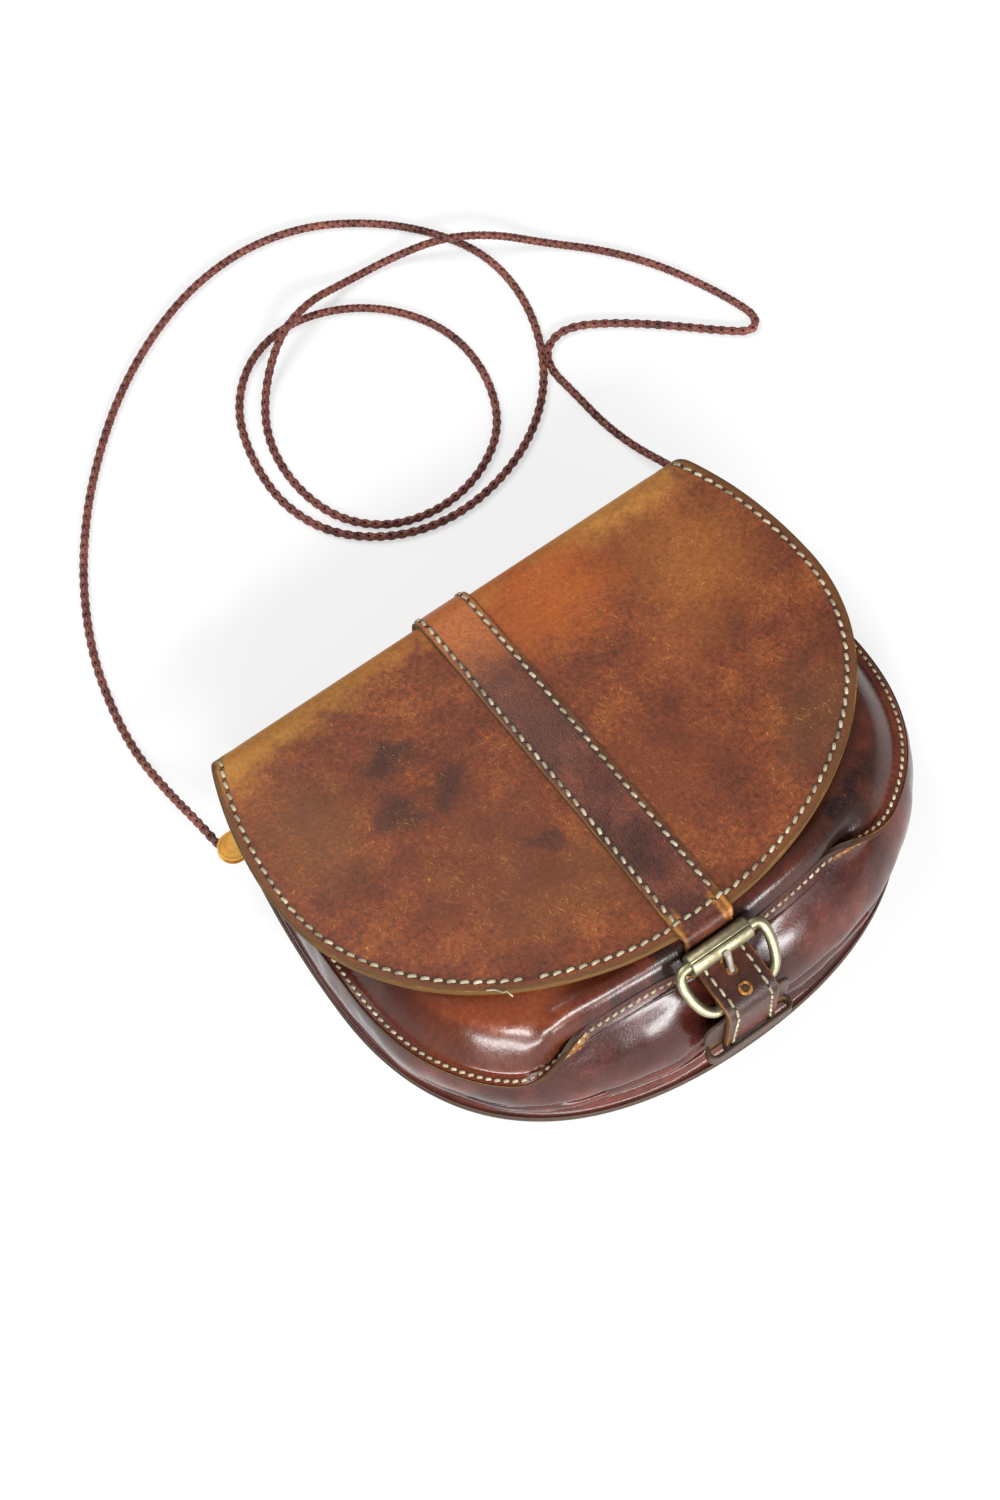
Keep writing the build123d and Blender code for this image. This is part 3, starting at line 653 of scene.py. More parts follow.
def on_flap_plane(length, height):
    """A point (y, z) this far down the flap's plane and this high above it."""
    return np.array([fold_y - length * cos(flap_rise) + height * sin(flap_rise),
                     fold_height + length * sin(flap_rise) + height * cos(flap_rise)])


strap_corner = on_flap_plane(strap_turn, strap_thickness)
to_corner = strap_corner - roller
arc_start = atan2(*to_corner[::-1]) - acos(round_roller / np.linalg.norm(to_corner))
arc_end = tilt - pi + acos((round_roller + round_hinge) / bar_gap)
strap_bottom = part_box("spine_strap")[0].z
outer_corner = (strap_thickness - strap_thickness * sin(flap_rise)) / cos(flap_rise)
upper_part = rounded([(fold_y + strap_thickness, strap_bottom),
                      on_flap_plane(-outer_corner, strap_thickness), strap_corner,
                      roller + round_roller * np.array([cos(arc_start), sin(arc_start)])],
                     [fold_radius + strap_thickness, 3 * mm])
tail_bottom = 9 * mm
strap_points = np.vstack([upper_part, swing(roller, round_roller, arc_start, arc_end)[1:],
                          swing(hinge, round_hinge, arc_end + pi, pi),
                          [(hinge[0] - round_hinge, tail_bottom)]])
strap_run = Run(resample(strap_points, 0.5 * mm)[0])
past_turn = np.linalg.norm(upper_part[-1] - strap_corner)
strap_flap_start = Run(upper_part).length - past_turn - strap_turn

# The strap's leather is darker and closer than the flap's, with pale places where it turns.
strap_marks = [
    (-3, 6, 26, 38, 0, "#ac602c", 1.0), (-3, 60, 16, 26, 0, "#6a3820", 0.4),
    (-17, 172, 8, 10, 0, "#b0702c", 1.0), (11, 170, 8, 10, 0, "#b0702c", 1.0),
    (-3, 186, 20, 9, 0, "#3d2a18", 0.7), (-3, 216, 22, 24, 0, "#241411", 0.9),
]
# The groove band along the stitch rows is painted shade.
strap_leather = finish("dark_bridle_strap",
                       [(0.32, "#3a1c14"), (0.5, "#50271b"), (0.68, "#6b3722")],
                       22 * mm, 0.4, "#6b4522", 0.6, speckle=0.24, relief=0.12 * mm, gloss=0.35,
                       marks=strap_marks, start=strap_flap_start,
                       scratches=("#9a7258", 0.5, 50), groove_shade=(2.9, 0.5, 1.3, 0.5))


def strap_place(x, s, height):
    drop = s - strap_flap_start
    on_flap = rise(flap_length - drop, 0, 6)
    lift = flap_lift(x, np.minimum(drop, flap_length)) * on_flap
    pinched = 0.12 * hump(drop - pinch_at, 0, 9) + 0.03 * rise(drop - pinch_at, 0, 8)
    return strap_run.bent(strap_x + (x - strap_x) * (1 - pinched), s, height + lift)


strap_outline = rounded([(strap_x + strap_half, 0), (strap_x + strap_half, strap_run.length),
                         (strap_x - strap_half, strap_run.length), (strap_x - strap_half, 0),
                         (strap_x + strap_half, 0)], [6 * mm, 6 * mm, 1 * mm], 1.5 * mm)[:-1]
ragged = 0.8 * mm * hump(strap_outline[:, 1] - strap_flap_start, 178, 7)
strap_outline[:, 0] += ragged * wave(strap_outline[:, 0], strap_outline[:, 1], 2.5 * mm, 2.2)
strap = leather("strap", strap_outline, strap_thickness, strap_place,
                [strap_leather, raw_edge, flesh_side], None,
                ring_insets=(0.45, 1.0, 1.8, 2.4, 2.9, 3.4, 4.2), field=2.2 * mm)
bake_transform(strap)
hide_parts("spine_strap", "flap_strap", "strap_tail")

# Punched holes in the tail: the prong's slot and one spare hole. They are cut with a drive
# punch, and use has rubbed their rims pale.
punched_shade = in_shade("punched_hole_in_shade", "#36221a", 0.95)
rubbed_rim = finish("rubbed_hole_rim", [(0.4, "#3d2413"), (0.5, "#7a4c20"), (0.6, "#a8702c")],
                    3 * mm, 0.7, "#7a4c20", 0.1, speckle=0.3, gloss=0.3)
roller_exit = Run(upper_part).length + round_roller * (arc_start - arc_end)
straight = sqrt(bar_gap ** 2 - (round_roller + round_hinge) ** 2)


def punched(s, half_width, half_length, rim_wide):
    """A hole's dark floor and its rim, on the strap's face at this length."""
    count, proud, deep = 28, 0.05 * mm, -0.3 * mm
    turn = np.linspace(0, 2 * pi, count, endpoint=False)
    x = strap_x + half_width * np.cos(turn)
    along = s + (half_length - half_width) * np.sign(np.sin(turn)) + half_width * np.sin(turn)
    ring, floor_ring = (strap_place(x, along, np.full(count, h)) for h in (proud, deep))
    middles = [strap_place(*np.array([[strap_x], [s], [h]])) for h in (proud, deep)]
    faces = [(2 * count, i, (i + 1) % count) for i in range(count)]
    faces += [(2 * count + 1, count + (i + 1) % count, count + i) for i in range(count)]
    faces += [(i, count + i, count + (i + 1) % count, (i + 1) % count) for i in range(count)]
    rim = carried_tube(np.vstack([ring, ring[:1]]), rim_wide, 0.7, 8)
    return [(np.vstack([ring, floor_ring, *middles]), faces, 0), (*rim, 1)]


slot_at = roller_exit + 0.35 * straight + 0.8 * mm
spare_at = slot_at + 10.6 * mm
holes = piece("tail_holes", punched(slot_at, 1.7 * mm, 3.6 * mm, 0.75 * mm)
              + punched(spare_at, 2.2 * mm, 2.25 * mm, 0.7 * mm),
              [punched_shade, rubbed_rim], "flap")

# Front panel: 2.2 mm glazed calf, blocked into a soft dome over the pouch.
# Its edge is turned out and sewn to the gusset; low down the seam is pushed up on edge.
# Painted light and shade on the panel: a dark patch of painted shade over its right side, a warm
# orange patch of painted light on its left, and two near-black bands of painted shade in the valley
# above the upturned seam.
calf_painted_light_and_shade = [(62, 158, 60, 22, -22, "#351a14", 0.7), (-80, 145, 40, 34, 20, "#7a3a1c", 0.7),
              (-20, 175, 58, 6, 0, "#140908", 1.0), (66, 166, 42, 7, -25, "#140908", 1.0)]
flange_marks = [(72, 178, 20, 9, -20, "#a06a2a", 1.0), (39, 188, 7, 6, 0, "#b8742c", 1.0),
                (-62, 187, 18, 8, 0, "#a06a2a", 1.0), (-104, 146, 28, 44, 0, "#86602e", 1.0)]
# The groove band on this panel is painted shade in the valley between the ridge and the upturned
# seam.
body_leather = finish("mahogany_glazed_calf",
                      [(0.3, "#2e110b"), (0.5, "#4c1e12"), (0.7, "#6f331c")],
                      34 * mm, 0.23, "#2c1712", 0.8, relief=0.05 * mm, coat=0.2, gloss=0.35,
                      marks=calf_painted_light_and_shade, scratches=("#8a5640", 0.25, 20),
                      groove_shade=(12.0, 3.0, 6.0, 0.45))
gusset_leather = finish("glazed_calf_gusset",
                        [(0.3, "#24100d"), (0.5, "#3f1a14"), (0.7, "#5f2c20")],
                        34 * mm, 0.22, "#2c1712", 0.8, relief=0.05 * mm, coat=0.25, gloss=0.3,
                        scratches=("#8a5640", 0.3, 0))
flange_edge = finish("worn_flange_edge", [(0.34, "#2a190e"), (0.5, "#4a3018"), (0.66, "#6e4a22")],
                     12 * mm, 0.7, "#3c2614", 0.1, speckle=0.25, grain=0.5 * mm, gloss=0.25,
                     marks=flange_marks)
body_half, body_top, body_shoulder, body_round = 123.4 * mm, 110 * mm, 105 * mm, 0.70
front_length, back_length = 188.5 * mm, 203 * mm
seam_height, dome_height = 34 * mm, 16.3 * mm
seam_width, mouth_drop, gusset_drop = 6.5 * mm, 24 * mm, 18 * mm
gusset_thickness = 2 * mm
low_seam = 120 * mm         # below the fold, where the seam turns along the pouch's bottom
droop = 9 * mm              # how far the seam hangs down where the pouch has slumped
front_d = d_curve(body_half, body_top, body_shoulder, front_length, body_round)


def droop_share(flat):
    """How much of its droop the seam has here: the pouch has slumped at its lower left."""
    return hump(flat[:, 0], -88, 30) * rise(flat[:, 1], 95, 50)


front_d = front_d + outward(front_d, closed=False) * (4 * mm * droop_share(front_d))[:, None]
front_d[:, 0] += 1.1 * mm * rise(front_d[:, 1], 30, 60)
front_d = resample(front_d, edge_step)[0]
front_normals = outward(front_d, closed=False)

# The seam stands off the panel by lie, and low down it is pushed up and back by most_pushed,
# less where the strap holds it down.
lie, most_pushed, held_down = radians(-8), radians(138), radians(69)


def seam_angle(line):
    """How far the seam is pushed up off the plane of the panel, along its length."""
    x = line[:, 0]
    pushed = most_pushed - held_down * hump(x - strap_x, 0, 15)
    low_part = rise(x, -94, 36) * (1 - rise(x, 52, 38))
    return lie + np.where(line[:, 1] > low_seam, pushed * low_part, 0)


front_angle = seam_angle(front_d)
pushed = np.clip((front_angle - lie) / radians(90), 0, 1)
across_step = 0.25 * mm
across = np.arange(0, 60 * mm, across_step)
even_dome = (dome_height - panel_thickness) * np.sin(
    pi / 2 * np.clip((across - seam_width) / (15 * mm), 0, 1))
ridge_across = np.array([-6.5, 0, 3.5, 6, 8, 9.5, 11, 13.5, 17.5, 23.5, 31.5]) * mm
ridge_up = np.array([0, 0, 0.2, 2.4, 6.4, 9.8, 11.6, 12.2, 11.4, 12.4, 14.1]) * mm


def soften(values):
    """Rounds the corners of a profile."""
    return np.convolve(np.pad(values, 3, mode="edge"), np.ones(7) / 7, "valid")


front_out, front_up = [], []
for angle, share, (x, _) in zip(front_angle, pushed, front_d):
    reach = 0.45 + 0.55 * rise(x, -92, 28)
    ridge = np.interp((across - seam_width) / reach, ridge_across, ridge_up)
    dome = even_dome + (ridge - even_dome) * share * (1 - hump(x - strap_x, 0, 20))
    turned = across < seam_width
    out_step = soften(np.where(turned, -cos(angle), -1.0))
    up_step = soften(np.where(turned, -sin(angle), np.gradient(dome, across)))
    out_line, up_line = np.cumsum(out_step) * across_step, np.cumsum(up_step) * across_step
    seam_index = int(seam_width / across_step)
    front_out.append(out_line - out_line[seam_index] - seam_width)
    front_up.append(up_line - up_line[seam_index])
slump = droop_share(front_d)[:, None] * droop * (1 - rise(across, 0, 45))
front_out, front_up = np.array(front_out), np.array(front_up) - slump


def table_at(table, rows, columns):
    """Bilinear values of a table."""
    rows = np.clip(rows, 0, table.shape[0] - 1.001)
    columns = np.clip(columns, 0, table.shape[1] - 1.001)
    r, c = rows.astype(int), columns.astype(int)
    fr, fc = rows - r, columns - c
    if table.ndim == 3:
        fr, fc = fr[:, None], fc[:, None]
    return ((table[r, c] * (1 - fr) + table[r + 1, c] * fr) * (1 - fc)
            + (table[r, c + 1] * (1 - fr) + table[r + 1, c + 1] * fr) * fc)


out_grad = np.gradient(front_out, axis=1)
up_grad = np.gradient(front_up, axis=1)
grad_size = np.hypot(out_grad, up_grad)
front_n_out, front_n_up = up_grad / grad_size, -out_grad / grad_size


def as_space(flat, z, rising, base=0.0):
    """Points on a plane that tilts about the fold: x, drop and height above it."""
    return np.stack([flat[:, 0], fold_y - flat[:, 1] * cos(rising) + z * sin(rising),
                     base + flat[:, 1] * sin(rising) + z * cos(rising)], 1)


def front_place(x, drop, height):
    flat = np.stack([x, drop], 1)
    gap, where = edge_distance(flat, front_d, closed=False)
    out, up, n_out, n_up = (table_at(table, where, gap / across_step)
                            for table in (front_out, front_up, front_n_out, front_n_up))
    foot = read_off(where, np.arange(len(front_d)), front_normals)
    uneven = 0.8 * mm * wave(x, drop, 30 * mm, 1.3) + 0.3 * mm * wave(x, drop, 11 * mm, 5.3)
    lift = height + panel_thickness + uneven * rise(gap, 9, 12)
    slid = (out + np.minimum(gap, across[-1])) * (1 - rise(gap, 22, 38))
    flat = flat + foot * (slid + n_out * lift)[:, None]
    return as_space(flat, up + n_up * lift, flap_rise, seam_height)


below_mouth = front_d[front_d[:, 1] > mouth_drop]
mouth_line = resample(below_mouth[[-1, 0]], edge_step)[0][1:-1]
front_panel = leather("front_panel_calf", np.vstack([below_mouth, mouth_line]),
                      panel_thickness, front_place,
                      [body_leather, flange_edge, flesh_side], "bag_body",
                      ring_insets=(0.45, 1.2, 2.0, 2.6, 3.2, 4.2, 5.2, 6.0, 6.6, 7.3, 8.2, 9.4,
                                   10.8, 12.2, 13.6, 15, 16.6, 18.4, 20.4))
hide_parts("front_panel")

# Gusset: one long strip of 2 mm glazed calf round the side and bottom of the pouch.
# Both its edges are turned out and sewn, and between them it bulges and creases.
stations = 420
gusset_length, gusset_width = 560 * mm, 64 * mm
back_d = d_curve(123 * mm, body_top, 100 * mm, back_length, 0.64)


def even(points):
    """The same number of even stations along a line."""
    points = resample(points[points[:, 1] > gusset_drop], 1 * mm)[0]
    return read_off(np.linspace(0, len(points) - 1, stations), np.arange(len(points)), points)


gusset_front, gusset_back = even(front_d), even(back_d)
normals_front = outward(gusset_front, closed=False)
normals_back = outward(gusset_back, closed=False)
angle_front = seam_angle(gusset_front)
seam_line = seam_height - droop * droop_share(gusset_front)
turned_out = (seam_width * (np.cos(angle_front) - 1))[:, None]
front_edge = as_space(gusset_front + normals_front * turned_out,
                      seam_line + seam_width * np.sin(angle_front), flap_rise)
front_seam = as_space(gusset_front - normals_front * seam_width, seam_line, flap_rise)
back_seam, back_edge = (as_space(gusset_back - normals_back * inset * mm,
                                 np.full(stations, panel_thickness), 0) for inset in (5, 0.3))
level = np.array([normals_back[:, 0], -normals_back[:, 1], np.zeros(stations)]).T

# The wall swells between its seams, most at the lower right, and is held in by the keeper.
gx, gd = gusset_back.T
at_keeper = hump(gx - strap_x, 0, 24, 4) * rise(gd, 150, 30)
bulge = mm * (2.5 + 2 * rise(gd, 60, 80) + 4 * rise(gx, 0, 60) * rise(gd, 50, 40)
              + 3.5 * hump(gx, -15, 52, 4) * rise(gd, 150, 40))
bulge = bulge * (1 - at_keeper) + 4.2 * mm * at_keeper
sway = wave(gx, gd, 60 * mm, 9.2)
lower_part = rise(gd, 120, 50) * (1 - 0.6 * at_keeper)
length_places = np.linspace(0, gusset_length, stations)
rows = [front_edge + (front_seam - front_edge) * q for q in np.linspace(0, 1, 14)[:-1]]
for q in np.linspace(0, 1, 78):
    arch = 4 * q * (1 - q)
    across_places = np.full(stations, q * 46 * mm)
    dents = (1.3 * mm * wave(length_places, across_places, 26 * mm, 4.4)
             + 0.5 * mm * wave(length_places, across_places, 9 * mm, 8.1))
    creases = (2.8 * mm * np.exp(-((q - 0.80 - 0.03 * sway) / 0.03) ** 2)
               + 1.6 * mm * np.exp(-((q - 0.62 + 0.06 * sway) / 0.025) ** 2)) * lower_part
    swell = bulge * arch * (1.3 - 0.6 * q) + dents * arch - creases
    rows.append(front_seam + (back_seam - front_seam) * q + level * swell[:, None])
rows += [back_seam + (back_edge - back_seam) * q for q in np.linspace(0, 1, 12)[1:]]
gusset_table = np.array(rows).transpose(1, 0, 2)
for _ in range(2):
    gusset_table[:, 1:-1] = (gusset_table[:, :-2] + 2 * gusset_table[:, 1:-1]
                             + gusset_table[:, 2:]) / 4
gusset_normals = unit(np.cross(*np.gradient(gusset_table, axis=(0, 1))))
if gusset_normals[stations // 2, 50][1] > 0:
    gusset_normals = -gusset_normals


def gusset_place(t, w, height):
    row = t / gusset_length * (stations - 1)
    column = w / gusset_width * (gusset_table.shape[1] - 1)
    spot = table_at(gusset_table, row, column)
    return spot + table_at(gusset_normals, row, column) * (height + gusset_thickness)[:, None]


gusset_outline = rounded([(0, 0), (gusset_length, 0), (gusset_length, gusset_width),
                          (0, gusset_width), (0, 0)], [0.5 * mm] * 3, 1.7 * mm)[:-1][::-1]
gusset = leather("gusset_calf", gusset_outline, gusset_thickness, gusset_place,
                 [gusset_leather, dark_edge, flesh_side], "bag_body",
                 ring_insets=(0.45, 1.2, 2.0, 2.8, 3.6, 4.4, 5.2, 6.0, 6.8, 7.6, 8.6),
                 field=2.4 * mm)
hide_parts("gusset")

# Back panel: a flat D of the same calf, grain side down; the whole bag lies on it.
# The gusset is sewn round its edge, and the spine to its inside.
back_top = resample(back_d[[-1, 0]], edge_step)[0][1:-1]


def back_place(x, drop, height):
    return np.stack([x, fold_y - drop, -height], 1)


back_panel = leather("back_panel_calf", np.vstack([back_d, back_top]), panel_thickness,
                     back_place, [body_leather, dark_edge, flesh_side], "bag_body", field=8 * mm)
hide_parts("back_panel")

# Thread: waxed linen, once cream and now grey, in saddle stitches.
# Each stitch stands proud between two dark awl holes and leans a little across its row.
thread_material = mottled("waxed_linen_thread",
                          [(0.32, "#6f6650"), (0.5, "#968d72"), (0.66, "#b2aa90")],
                          patch=(7, 5.0, 0.5), pit=(0.35, 3.0), bump=(0.6, 0.15), rough=0.7)
strap_stitch = 5 * mm, 3.9 * mm, 1.5 * mm       # pitch, length and thickness of a stitch
tail_stitch = 5 * mm, 4.3 * mm, 1.2 * mm
seam_stitch = 3.4 * mm, 2.6 * mm, 1.25 * mm


def on_face(place, x, s, height=0.0):
    """Points on a bent piece's face and its outward normals there."""
    x, s = np.broadcast_arrays(np.asarray(x, float), np.asarray(s, float))
    low, high = (place(x, s, np.full(len(x), height + more)) for more in (0, 0.2 * mm))
    return low, unit(high - low)


def saddle_stitches(points, normals, size, lean, left_out=()):
    """Groups for piece(): one thread arch and two awl holes for each stitch along a row."""
    pitch, length, width = size
    places, stops = resample(points, pitch)
    normals = unit(read_off(stops, lengths_along(points), normals))
    share = np.linspace(-1, 1, 7)
    arch = (1 - share ** 2) * 0.42 * width - 0.16 * width
    girth = (np.sqrt(np.clip(1.06 - share ** 4, 0.05, 1)) * width / 2)[:, None]
    turn = np.linspace(0, 2 * pi, 8, endpoint=False)
    groups = []
    tangents = np.gradient(places, axis=0)
    for number, (spot, normal, tangent) in enumerate(zip(places, normals, tangents)):
        if number in left_out:
            continue
        tangent = unit(tangent - normal * tangent.dot(normal))
        stray = noise.noise(Vector(spot * 900))
        angle = lean + 0.12 * stray
        along = tangent * cos(angle) + np.cross(normal, tangent) * sin(angle)
        side = np.cross(normal, along)
        line = (spot + share[:, None] * along * length / 2 * (1 + 0.08 * stray)
                + arch[:, None] * normal)
        groups.append((*tube(line, girth, girth * 0.75, side, normal, 8), 0))
        for end in (line[0], line[-1]):
            middle = end + normal * 0.16 * width
            rim = [middle + (side * cos(a) * 0.42 + along * sin(a) * 0.36) * width for a in turn]
            top, low = middle + normal * 0.1 * width, middle - normal * 0.3 * width
            cone = [(k, (k + 1) % 8, 8) for k in range(8)] + [((k + 1) % 8, k, 9) for k in range(8)]
            groups.append((rim + [top, low], cone, 1))
    return groups


def row_inside(curve, inset, start):
    """A D curve moved in by inset, from start below the fold round to start again."""
    moved = curve - outward(curve, closed=False) * inset
    below = moved[:, 1] > start
    return resample(moved[np.argmax(below):len(moved) - np.argmax(below[::-1])], 1 * mm)[0].T


# The flap's row climbs over the strap. One of its stitches is gone, and a thread end hangs loose.
row_x, row_s = row_inside(flap_d, 4 * mm, flap_start + 4 * mm)
over_strap = strap_thickness * rise(strap_half + 1 * mm - abs(row_x - strap_x), 0, 1.6)
flap_rows = saddle_stitches(*on_face(flap_place, row_x, row_s, over_strap), strap_stitch, 0.2,
                            left_out=(63,))
loose_end, _ = on_face(flap_place, np.array([-85, -82, -80.5, -79, -78.5]) * mm,
                       flap_start + np.array([144, 146, 148.5, 149, 152]) * mm, 0.7 * mm)
flap_rows.append((*carried_tube(loose_end, 0.35 * mm), 0))

strap_row_out, tail_row_out = 9.8 * mm, 8.7 * mm        # from the strap's middle
strap_rows, tail_rows = [], []
for way, last in ((-1, 164.5), (1, 160.5)):
    stops = np.arange(strap_flap_start - 46 * mm, strap_flap_start + last * mm, 1 * mm)
    strap_rows += saddle_stitches(*on_face(strap_place, strap_x + way * strap_row_out, stops),
                                  strap_stitch, 0.2 * way)
    stops = np.arange(roller_exit - 1 * mm, strap_run.length - 4 * mm, 1 * mm)
    bow = way * (tail_row_out + 0.5 * mm * np.sin(stops / (9 * mm)))
    tail_rows += saddle_stitches(*on_face(strap_place, strap_x + bow, stops),
                                 tail_stitch, 0.08 * way)

row_x, row_s = row_inside(front_d, 2.6 * mm, mouth_drop + 4 * mm)
front_rows = saddle_stitches(*on_face(front_place, row_x, row_s), seam_stitch, 0.25)
stops = np.arange(12 * mm, gusset_length - 12 * mm, 1 * mm)
front_rows += saddle_stitches(*on_face(gusset_place, stops, 3.1 * mm), seam_stitch, 0.25)
back_rows = saddle_stitches(*on_face(gusset_place, stops, gusset_width - 3.4 * mm),
                            seam_stitch, 0.25)
spine_points, spine_normals = on_face(flap_place, np.linspace(-95, 95, 190) * mm, 8 * mm,
                                      -flap_thickness)
spine_rows = saddle_stitches(spine_points, -spine_normals, strap_stitch, 0.2)

for name, rows, node, body in (
        ("flap_edge_stitches", flap_rows, "flap_edge_thread", None),
        ("strap_stitches", strap_rows, "flap_strap_thread", None),
        ("tail_stitches", tail_rows, "tail_thread", "flap"),
        ("front_seam_stitches", front_rows, "front_seam_thread", "bag_body"),
        ("back_seam_stitches", back_rows, "back_seam_thread", "bag_body"),
        ("spine_stitches", spine_rows, "spine_thread", "bag_body")):
    thread = piece(name, rows, [thread_material, punched_shade], body)
    if body is None:
        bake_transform(thread)
    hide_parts(node)

# Buckle: a drop-forged brass frame with a rolled sheet roller on its upper bar.
# The plating has gone dull and greenish; the nickel prong is scuffed but still bright.
brass = mottled("aged_brass_plate",
                [(0.3, "#706b54"), (0.48, "#968f74"), (0.6, "#aca587"), (0.75, "#c8c2ac")],
                patch=(5, 7.0, 0.7), pit=(0.6, 4.0), bump=(0.4, 0.08), rough=(0.56, 0.38),
                metallic=1.0)
nickel = mottled("bright_worn_nickel",
                 [(0.3, "#b5ae9a"), (0.45, "#d0cbbc"), (0.55, "#dedad0"), (0.7, "#e8e5dc")],
                 patch=(2.5, 7.0, 0.7), pit=(0.5, 4.0), bump=(0.3, 0.05), rough=(0.48, 0.36),
                 metallic=1.0)
for slot in frame["nodes"]["buckle_prong"].material_slots:
    slot.material = nickel

half_frame = np.array([(0, 0), (10.5, 0), (14.2, 0.6), (17.2, 3.8), (19.2, 9.0), (20.0, 15),
                       (19.6, 19.8), (17.4, 22.1), (14.2, 22.1), (0, 22.1)]) * mm
outline = np.vstack([half_frame, half_frame[-2:0:-1] * [-1, 1]])
for _ in range(4):
    after = np.roll(outline, -1, 0)
    outline = np.stack([0.75 * outline + 0.25 * after, 0.25 * outline + 0.75 * after], 1)
    outline = outline.reshape(-1, 2)
along_frame = (roller - hinge) / bar_gap
loop = np.array([(strap_x + p, *(hinge + along_frame * q)) for p, q in outline])
frame_normal = np.array([0, -along_frame[1], along_frame[0]])
side_way = np.cross(unit(np.roll(loop, -1, 0) - np.roll(loop, 1, 0)), frame_normal)
wire = 2.15 * mm
bent = tube(loop, wire, wire, side_way, frame_normal, 16, closed=True)
buckle = piece("buckle_wire", [(*bent, 0)], [brass], "buckle")
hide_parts("buckle_frame")

roller_half = (roller_high.x - roller_low.x) / 2
bore = 2.45 * mm
profile = [(-roller_half, bore), (-roller_half, roller_radius - 0.7 * mm),
           (-roller_half + 0.3 * mm, roller_radius - 0.2 * mm),
           (-roller_half + 0.9 * mm, roller_radius)]
profile += [(-x, r) for x, r in profile[::-1]]
turn = np.radians(np.concatenate([[0, 3, 6], np.linspace(9, 351, 60), [354, 357]]))
sunk = np.interp(np.degrees(turn), [0, 6, 9, 330, 354, 360], [1.1, 1.1, 0, 0, 0.2, 1.1]) * mm
seam_turn = radians(66)
shell = []
for x, r in profile:
    radii = np.where(r > bore, r - sunk, r)
    angles = turn + seam_turn + tilt
    shell.append(np.stack([np.full(len(turn), strap_x + x), roller[0] + radii * np.cos(angles),
                           roller[1] + radii * np.sin(angles)], 1))
shell_faces = band_faces(len(profile), len(turn), closed=True)
roller_piece = piece("buckle_roller_sheet", [(np.vstack(shell), shell_faces, 0)], [brass], "roller")
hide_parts("buckle_roller")

# Chape: a strip of dark leather doubled round the hinge bar, slit for the prong.
# It ends in a wide round-cornered tab sewn to the gusset under the buckle.
chape_leather = finish("dark_strap_offcut", [(0.3, "#241610"), (0.5, "#38211a"), (0.7, "#4c2e20")],
                       14 * mm, 0.42, "#3a2616", 0.7, speckle=0.15)
chape_thickness, chape_low = 1.8 * mm, 23 * mm
chape_run = Run(resample(np.vstack([swing(hinge, chape_radius, radians(-70), pi),
                                    [(hinge[0] - chape_radius, chape_low)]]), 0.5 * mm)[0])


def chape_place(x, s, height):
    return chape_run.bent(x + strap_x, s, height)


slit, tab_left, tab_right, chape_half = 2.3 * mm, -20.5 * mm, 19.5 * mm, 11 * mm
slit_end = chape_run.length - (hinge[1] - 5 * mm - chape_low)
tab_top = chape_run.length - 20 * mm
chape_outline = rounded([
    (-chape_half, 0), (-slit, 0), (-slit, slit_end), (slit, slit_end), (slit, 0), (chape_half, 0),
    (chape_half, tab_top), (tab_right, tab_top + 1 * mm), (tab_right, chape_run.length),
    (tab_left, chape_run.length), (tab_left, tab_top + 1 * mm), (-chape_half, tab_top),
    (-chape_half, 0)], np.array([0.5, 1, 1, 0.5, 0.5, 1, 5, 8, 8, 5, 1]) * mm, 0.9 * mm)[:-1]
chape = leather("chape_and_tab", chape_outline, chape_thickness, chape_place,
                [chape_leather, dark_edge, flesh_side], "bag_body",
                ring_insets=(0.35, 0.8, 1.3), field=1.4 * mm, edge_round=0.35 * mm)
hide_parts("buckle_chape")

# Keeper: a closed band of strap leather that holds the tail's end.
# It is cut from the same strap as the chape and fixed on the gusset below the buckle.
keeper_low, keeper_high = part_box("keeper_loop")
keeper_thickness, keeper_top = 1.6 * mm, keeper_high.z
keeper_width = keeper_top - (keeper_low.z + 6.5 * mm)
x0, x1, y0, y1 = keeper_low.x, keeper_high.x, keeper_low.y, keeper_high.y
band_middle = (0.5 * (x0 + x1), y1)
band_run = Run(rounded([band_middle, (x0, y1), (x0, y0), (x1, y0), (x1, y1), band_middle],
                       [3.6 * mm] * 4))


def keeper_place(s, v, height):
    x, y, nx, ny = band_run.at(s)
    return np.stack([x + nx * height, y + ny * height, keeper_top - v], 1)


keeper_outline = rounded([(0, 0), (band_run.length, 0), (band_run.length, keeper_width),
                          (0, keeper_width), (0, 0)], [0.3 * mm] * 3, 0.9 * mm)[:-1]
keeper = leather("keeper_band", keeper_outline, keeper_thickness, keeper_place,
                 [chape_leather, dark_edge, flesh_side], "bag_body",
                 ring_insets=(0.4, 0.9, 1.5), field=1.4 * mm, edge_round=0.4 * mm)
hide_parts("keeper_loop")

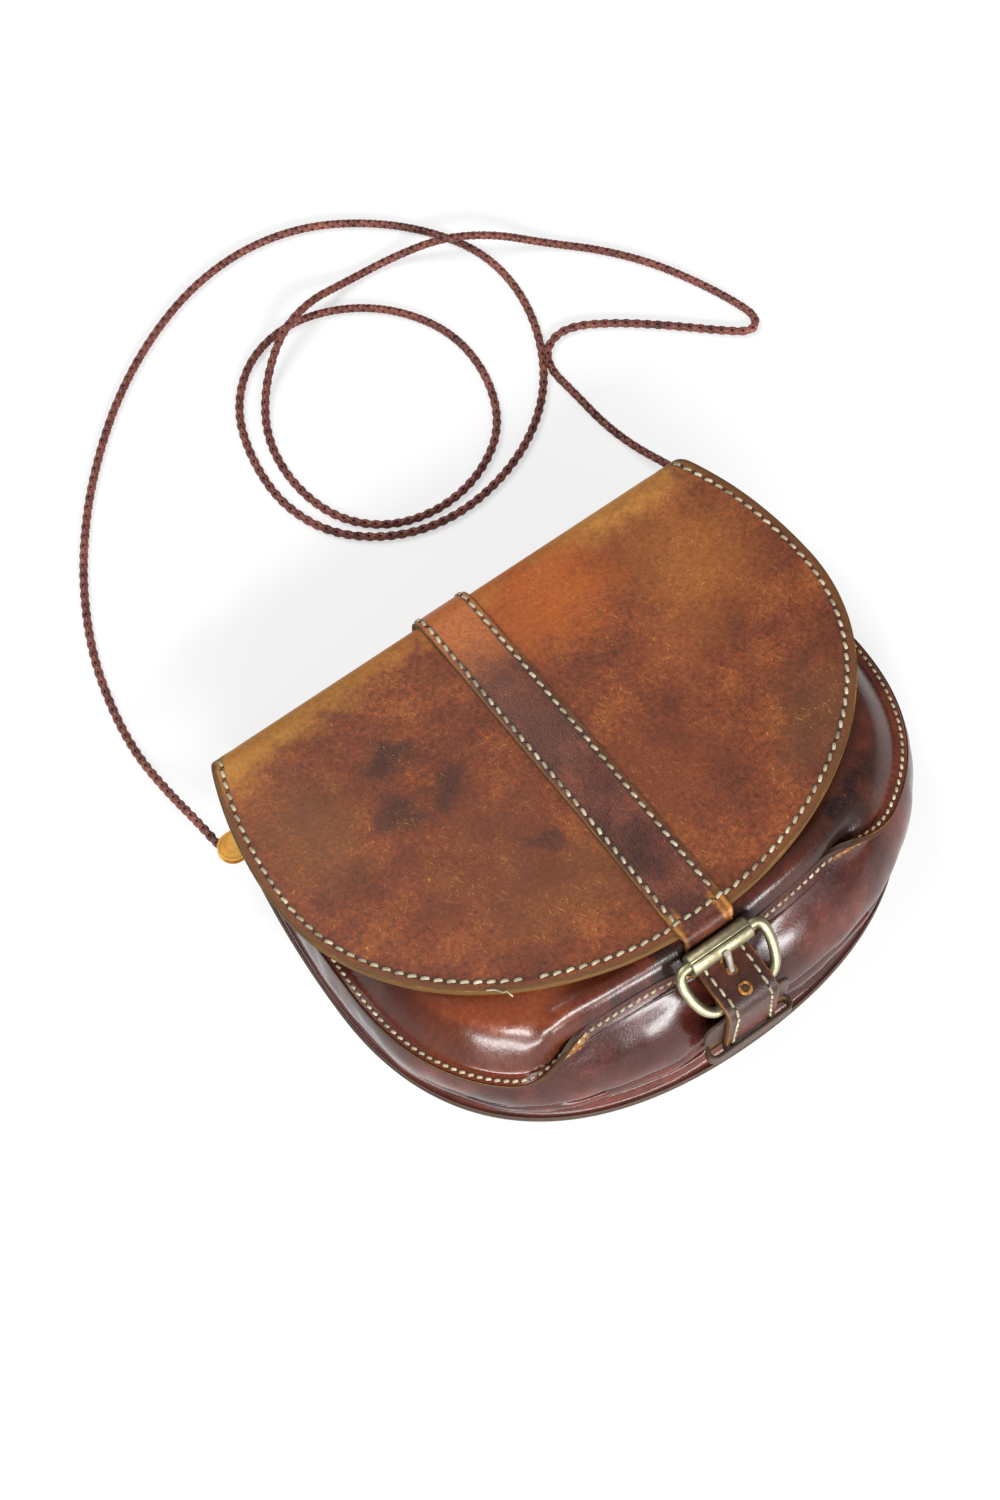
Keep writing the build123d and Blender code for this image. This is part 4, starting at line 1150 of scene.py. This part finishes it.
# Ears: small round tabs of pale russet hide at the pouch's upper corners.
# Each lies by the hole where the cord goes through the gusset.
ear_leather = finish("pale_russet_hide", [(0.3, "#b87c28"), (0.5, "#d09a38"), (0.7, "#dca94c")],
                     8 * mm, 0.55, "#8f6224", 0.5, speckle=0.15)
for name, way in (("left", -1), ("right", 1)):
    low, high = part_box(f"cord_ear_{name}")
    middle_y, radius = (low.y + high.y) / 2, (high.y - low.y) / 2
    tip, root = (low.x, high.x) if way < 0 else (high.x, low.x)
    turn = np.linspace(-pi / 2, pi / 2, 24)
    end = [(tip - way * radius * (1 - cos(a)), middle_y + radius * sin(a)) for a in turn]
    sides = [(root, middle_y + radius), (root, middle_y - radius), end[0]]
    ear_outline = resample(np.array(end + sides), 0.7 * mm)[0][:-1]

    def ear_place(x, y, height, top=high.z):
        return np.stack([x, y, top + height], 1)

    ear = leather(f"ear_tab_{name}", ear_outline, high.z - low.z, ear_place,
                  [ear_leather] * 3, "bag_body", ring_insets=(0.4, 0.9, 1.4),
                  field=1.2 * mm, edge_round=0.4 * mm)
    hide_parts(f"cord_ear_{name}")

# Floor and light: a plain white floor, three long soft lamps in front, one over the back, and
# a pale surround. The floor shows itself white to the eye and in reflections, more so far off.
floor_material, tree = new_material("white_floor")
seen = add(tree, "LightPath").outputs
direct = add(tree, "Math", {0: seen["Is Camera Ray"], 1: seen["Is Glossy Ray"]},
             operation="MAXIMUM")
here = add(tree, "NewGeometry").outputs["Position"]
far = add(tree, "VectorMath", {0: here}, operation="LENGTH")
plain_white = add(tree, "MapRange", {"Value": far, 1: 0.5, 2: 1.2, 3: 0.6, 4: 1.0},
                  interpolation_type="SMOOTHSTEP")
share_seen = add(tree, "Math", {0: direct, 1: plain_white}, operation="MULTIPLY")
plain = add(tree, "BsdfDiffuse", {"Color": (0.9, 0.9, 0.9, 1)})
white = add(tree, "Emission", {"Color": (1, 1, 1, 1), "Strength": 1.0})
both = add(tree, "MixShader", {0: share_seen, 1: plain, 2: white})
add(tree, "OutputMaterial", {"Surface": both})
floor_half = 6
floor_mesh = bpy.data.meshes.new("floor")
floor_mesh.from_pydata([(x * floor_half, y * floor_half, 0) for x, y in
                        ((-1, -1), (1, -1), (1, 1), (-1, 1))], [], [(0, 1, 2, 3)])
floor_mesh.materials.append(floor_material)
floor = bpy.data.objects.new("floor", floor_mesh)
scene.collection.objects.link(floor)

world = bpy.data.worlds.new("pale_room")
scene.world = world
world.use_nodes = True
tree = world.node_tree
tree.nodes.clear()
seen = add(tree, "LightPath").outputs
direct = add(tree, "Math", {0: seen["Is Camera Ray"], 1: seen["Is Transmission Ray"]},
             operation="MAXIMUM")
strength = add(tree, "MapRange", {"Value": direct, 3: 0.3, 4: 1.0})
sky = add(tree, "Background", {"Color": (1, 1, 1, 1), "Strength": strength})
add(tree, "OutputWorld", {"Surface": sky})

for name, at, wide, tall, energy in (("front_window", (-0.35, -1.25, 0.95), 0.75, 0.24, 20),
                                     ("low_window", (0.25, -1.5, 0.42), 0.65, 0.2, 15),
                                     ("side_window", (-0.85, -1.15, 0.4), 0.6, 0.2, 12),
                                     ("ceiling_panel", (-0.4, 0.9, 1.5), 1.1, 0.8, 20)):
    lamp = bpy.data.objects.new(name, bpy.data.lights.new(name, "AREA"))
    lamp.data.shape = "RECTANGLE"
    lamp.data.size, lamp.data.size_y = wide, tall
    lamp.data.energy = energy
    lamp.location = at
    lamp.rotation_euler = Vector(at).to_track_quat("Z", "Y").to_euler()
    scene.collection.objects.link(lamp)
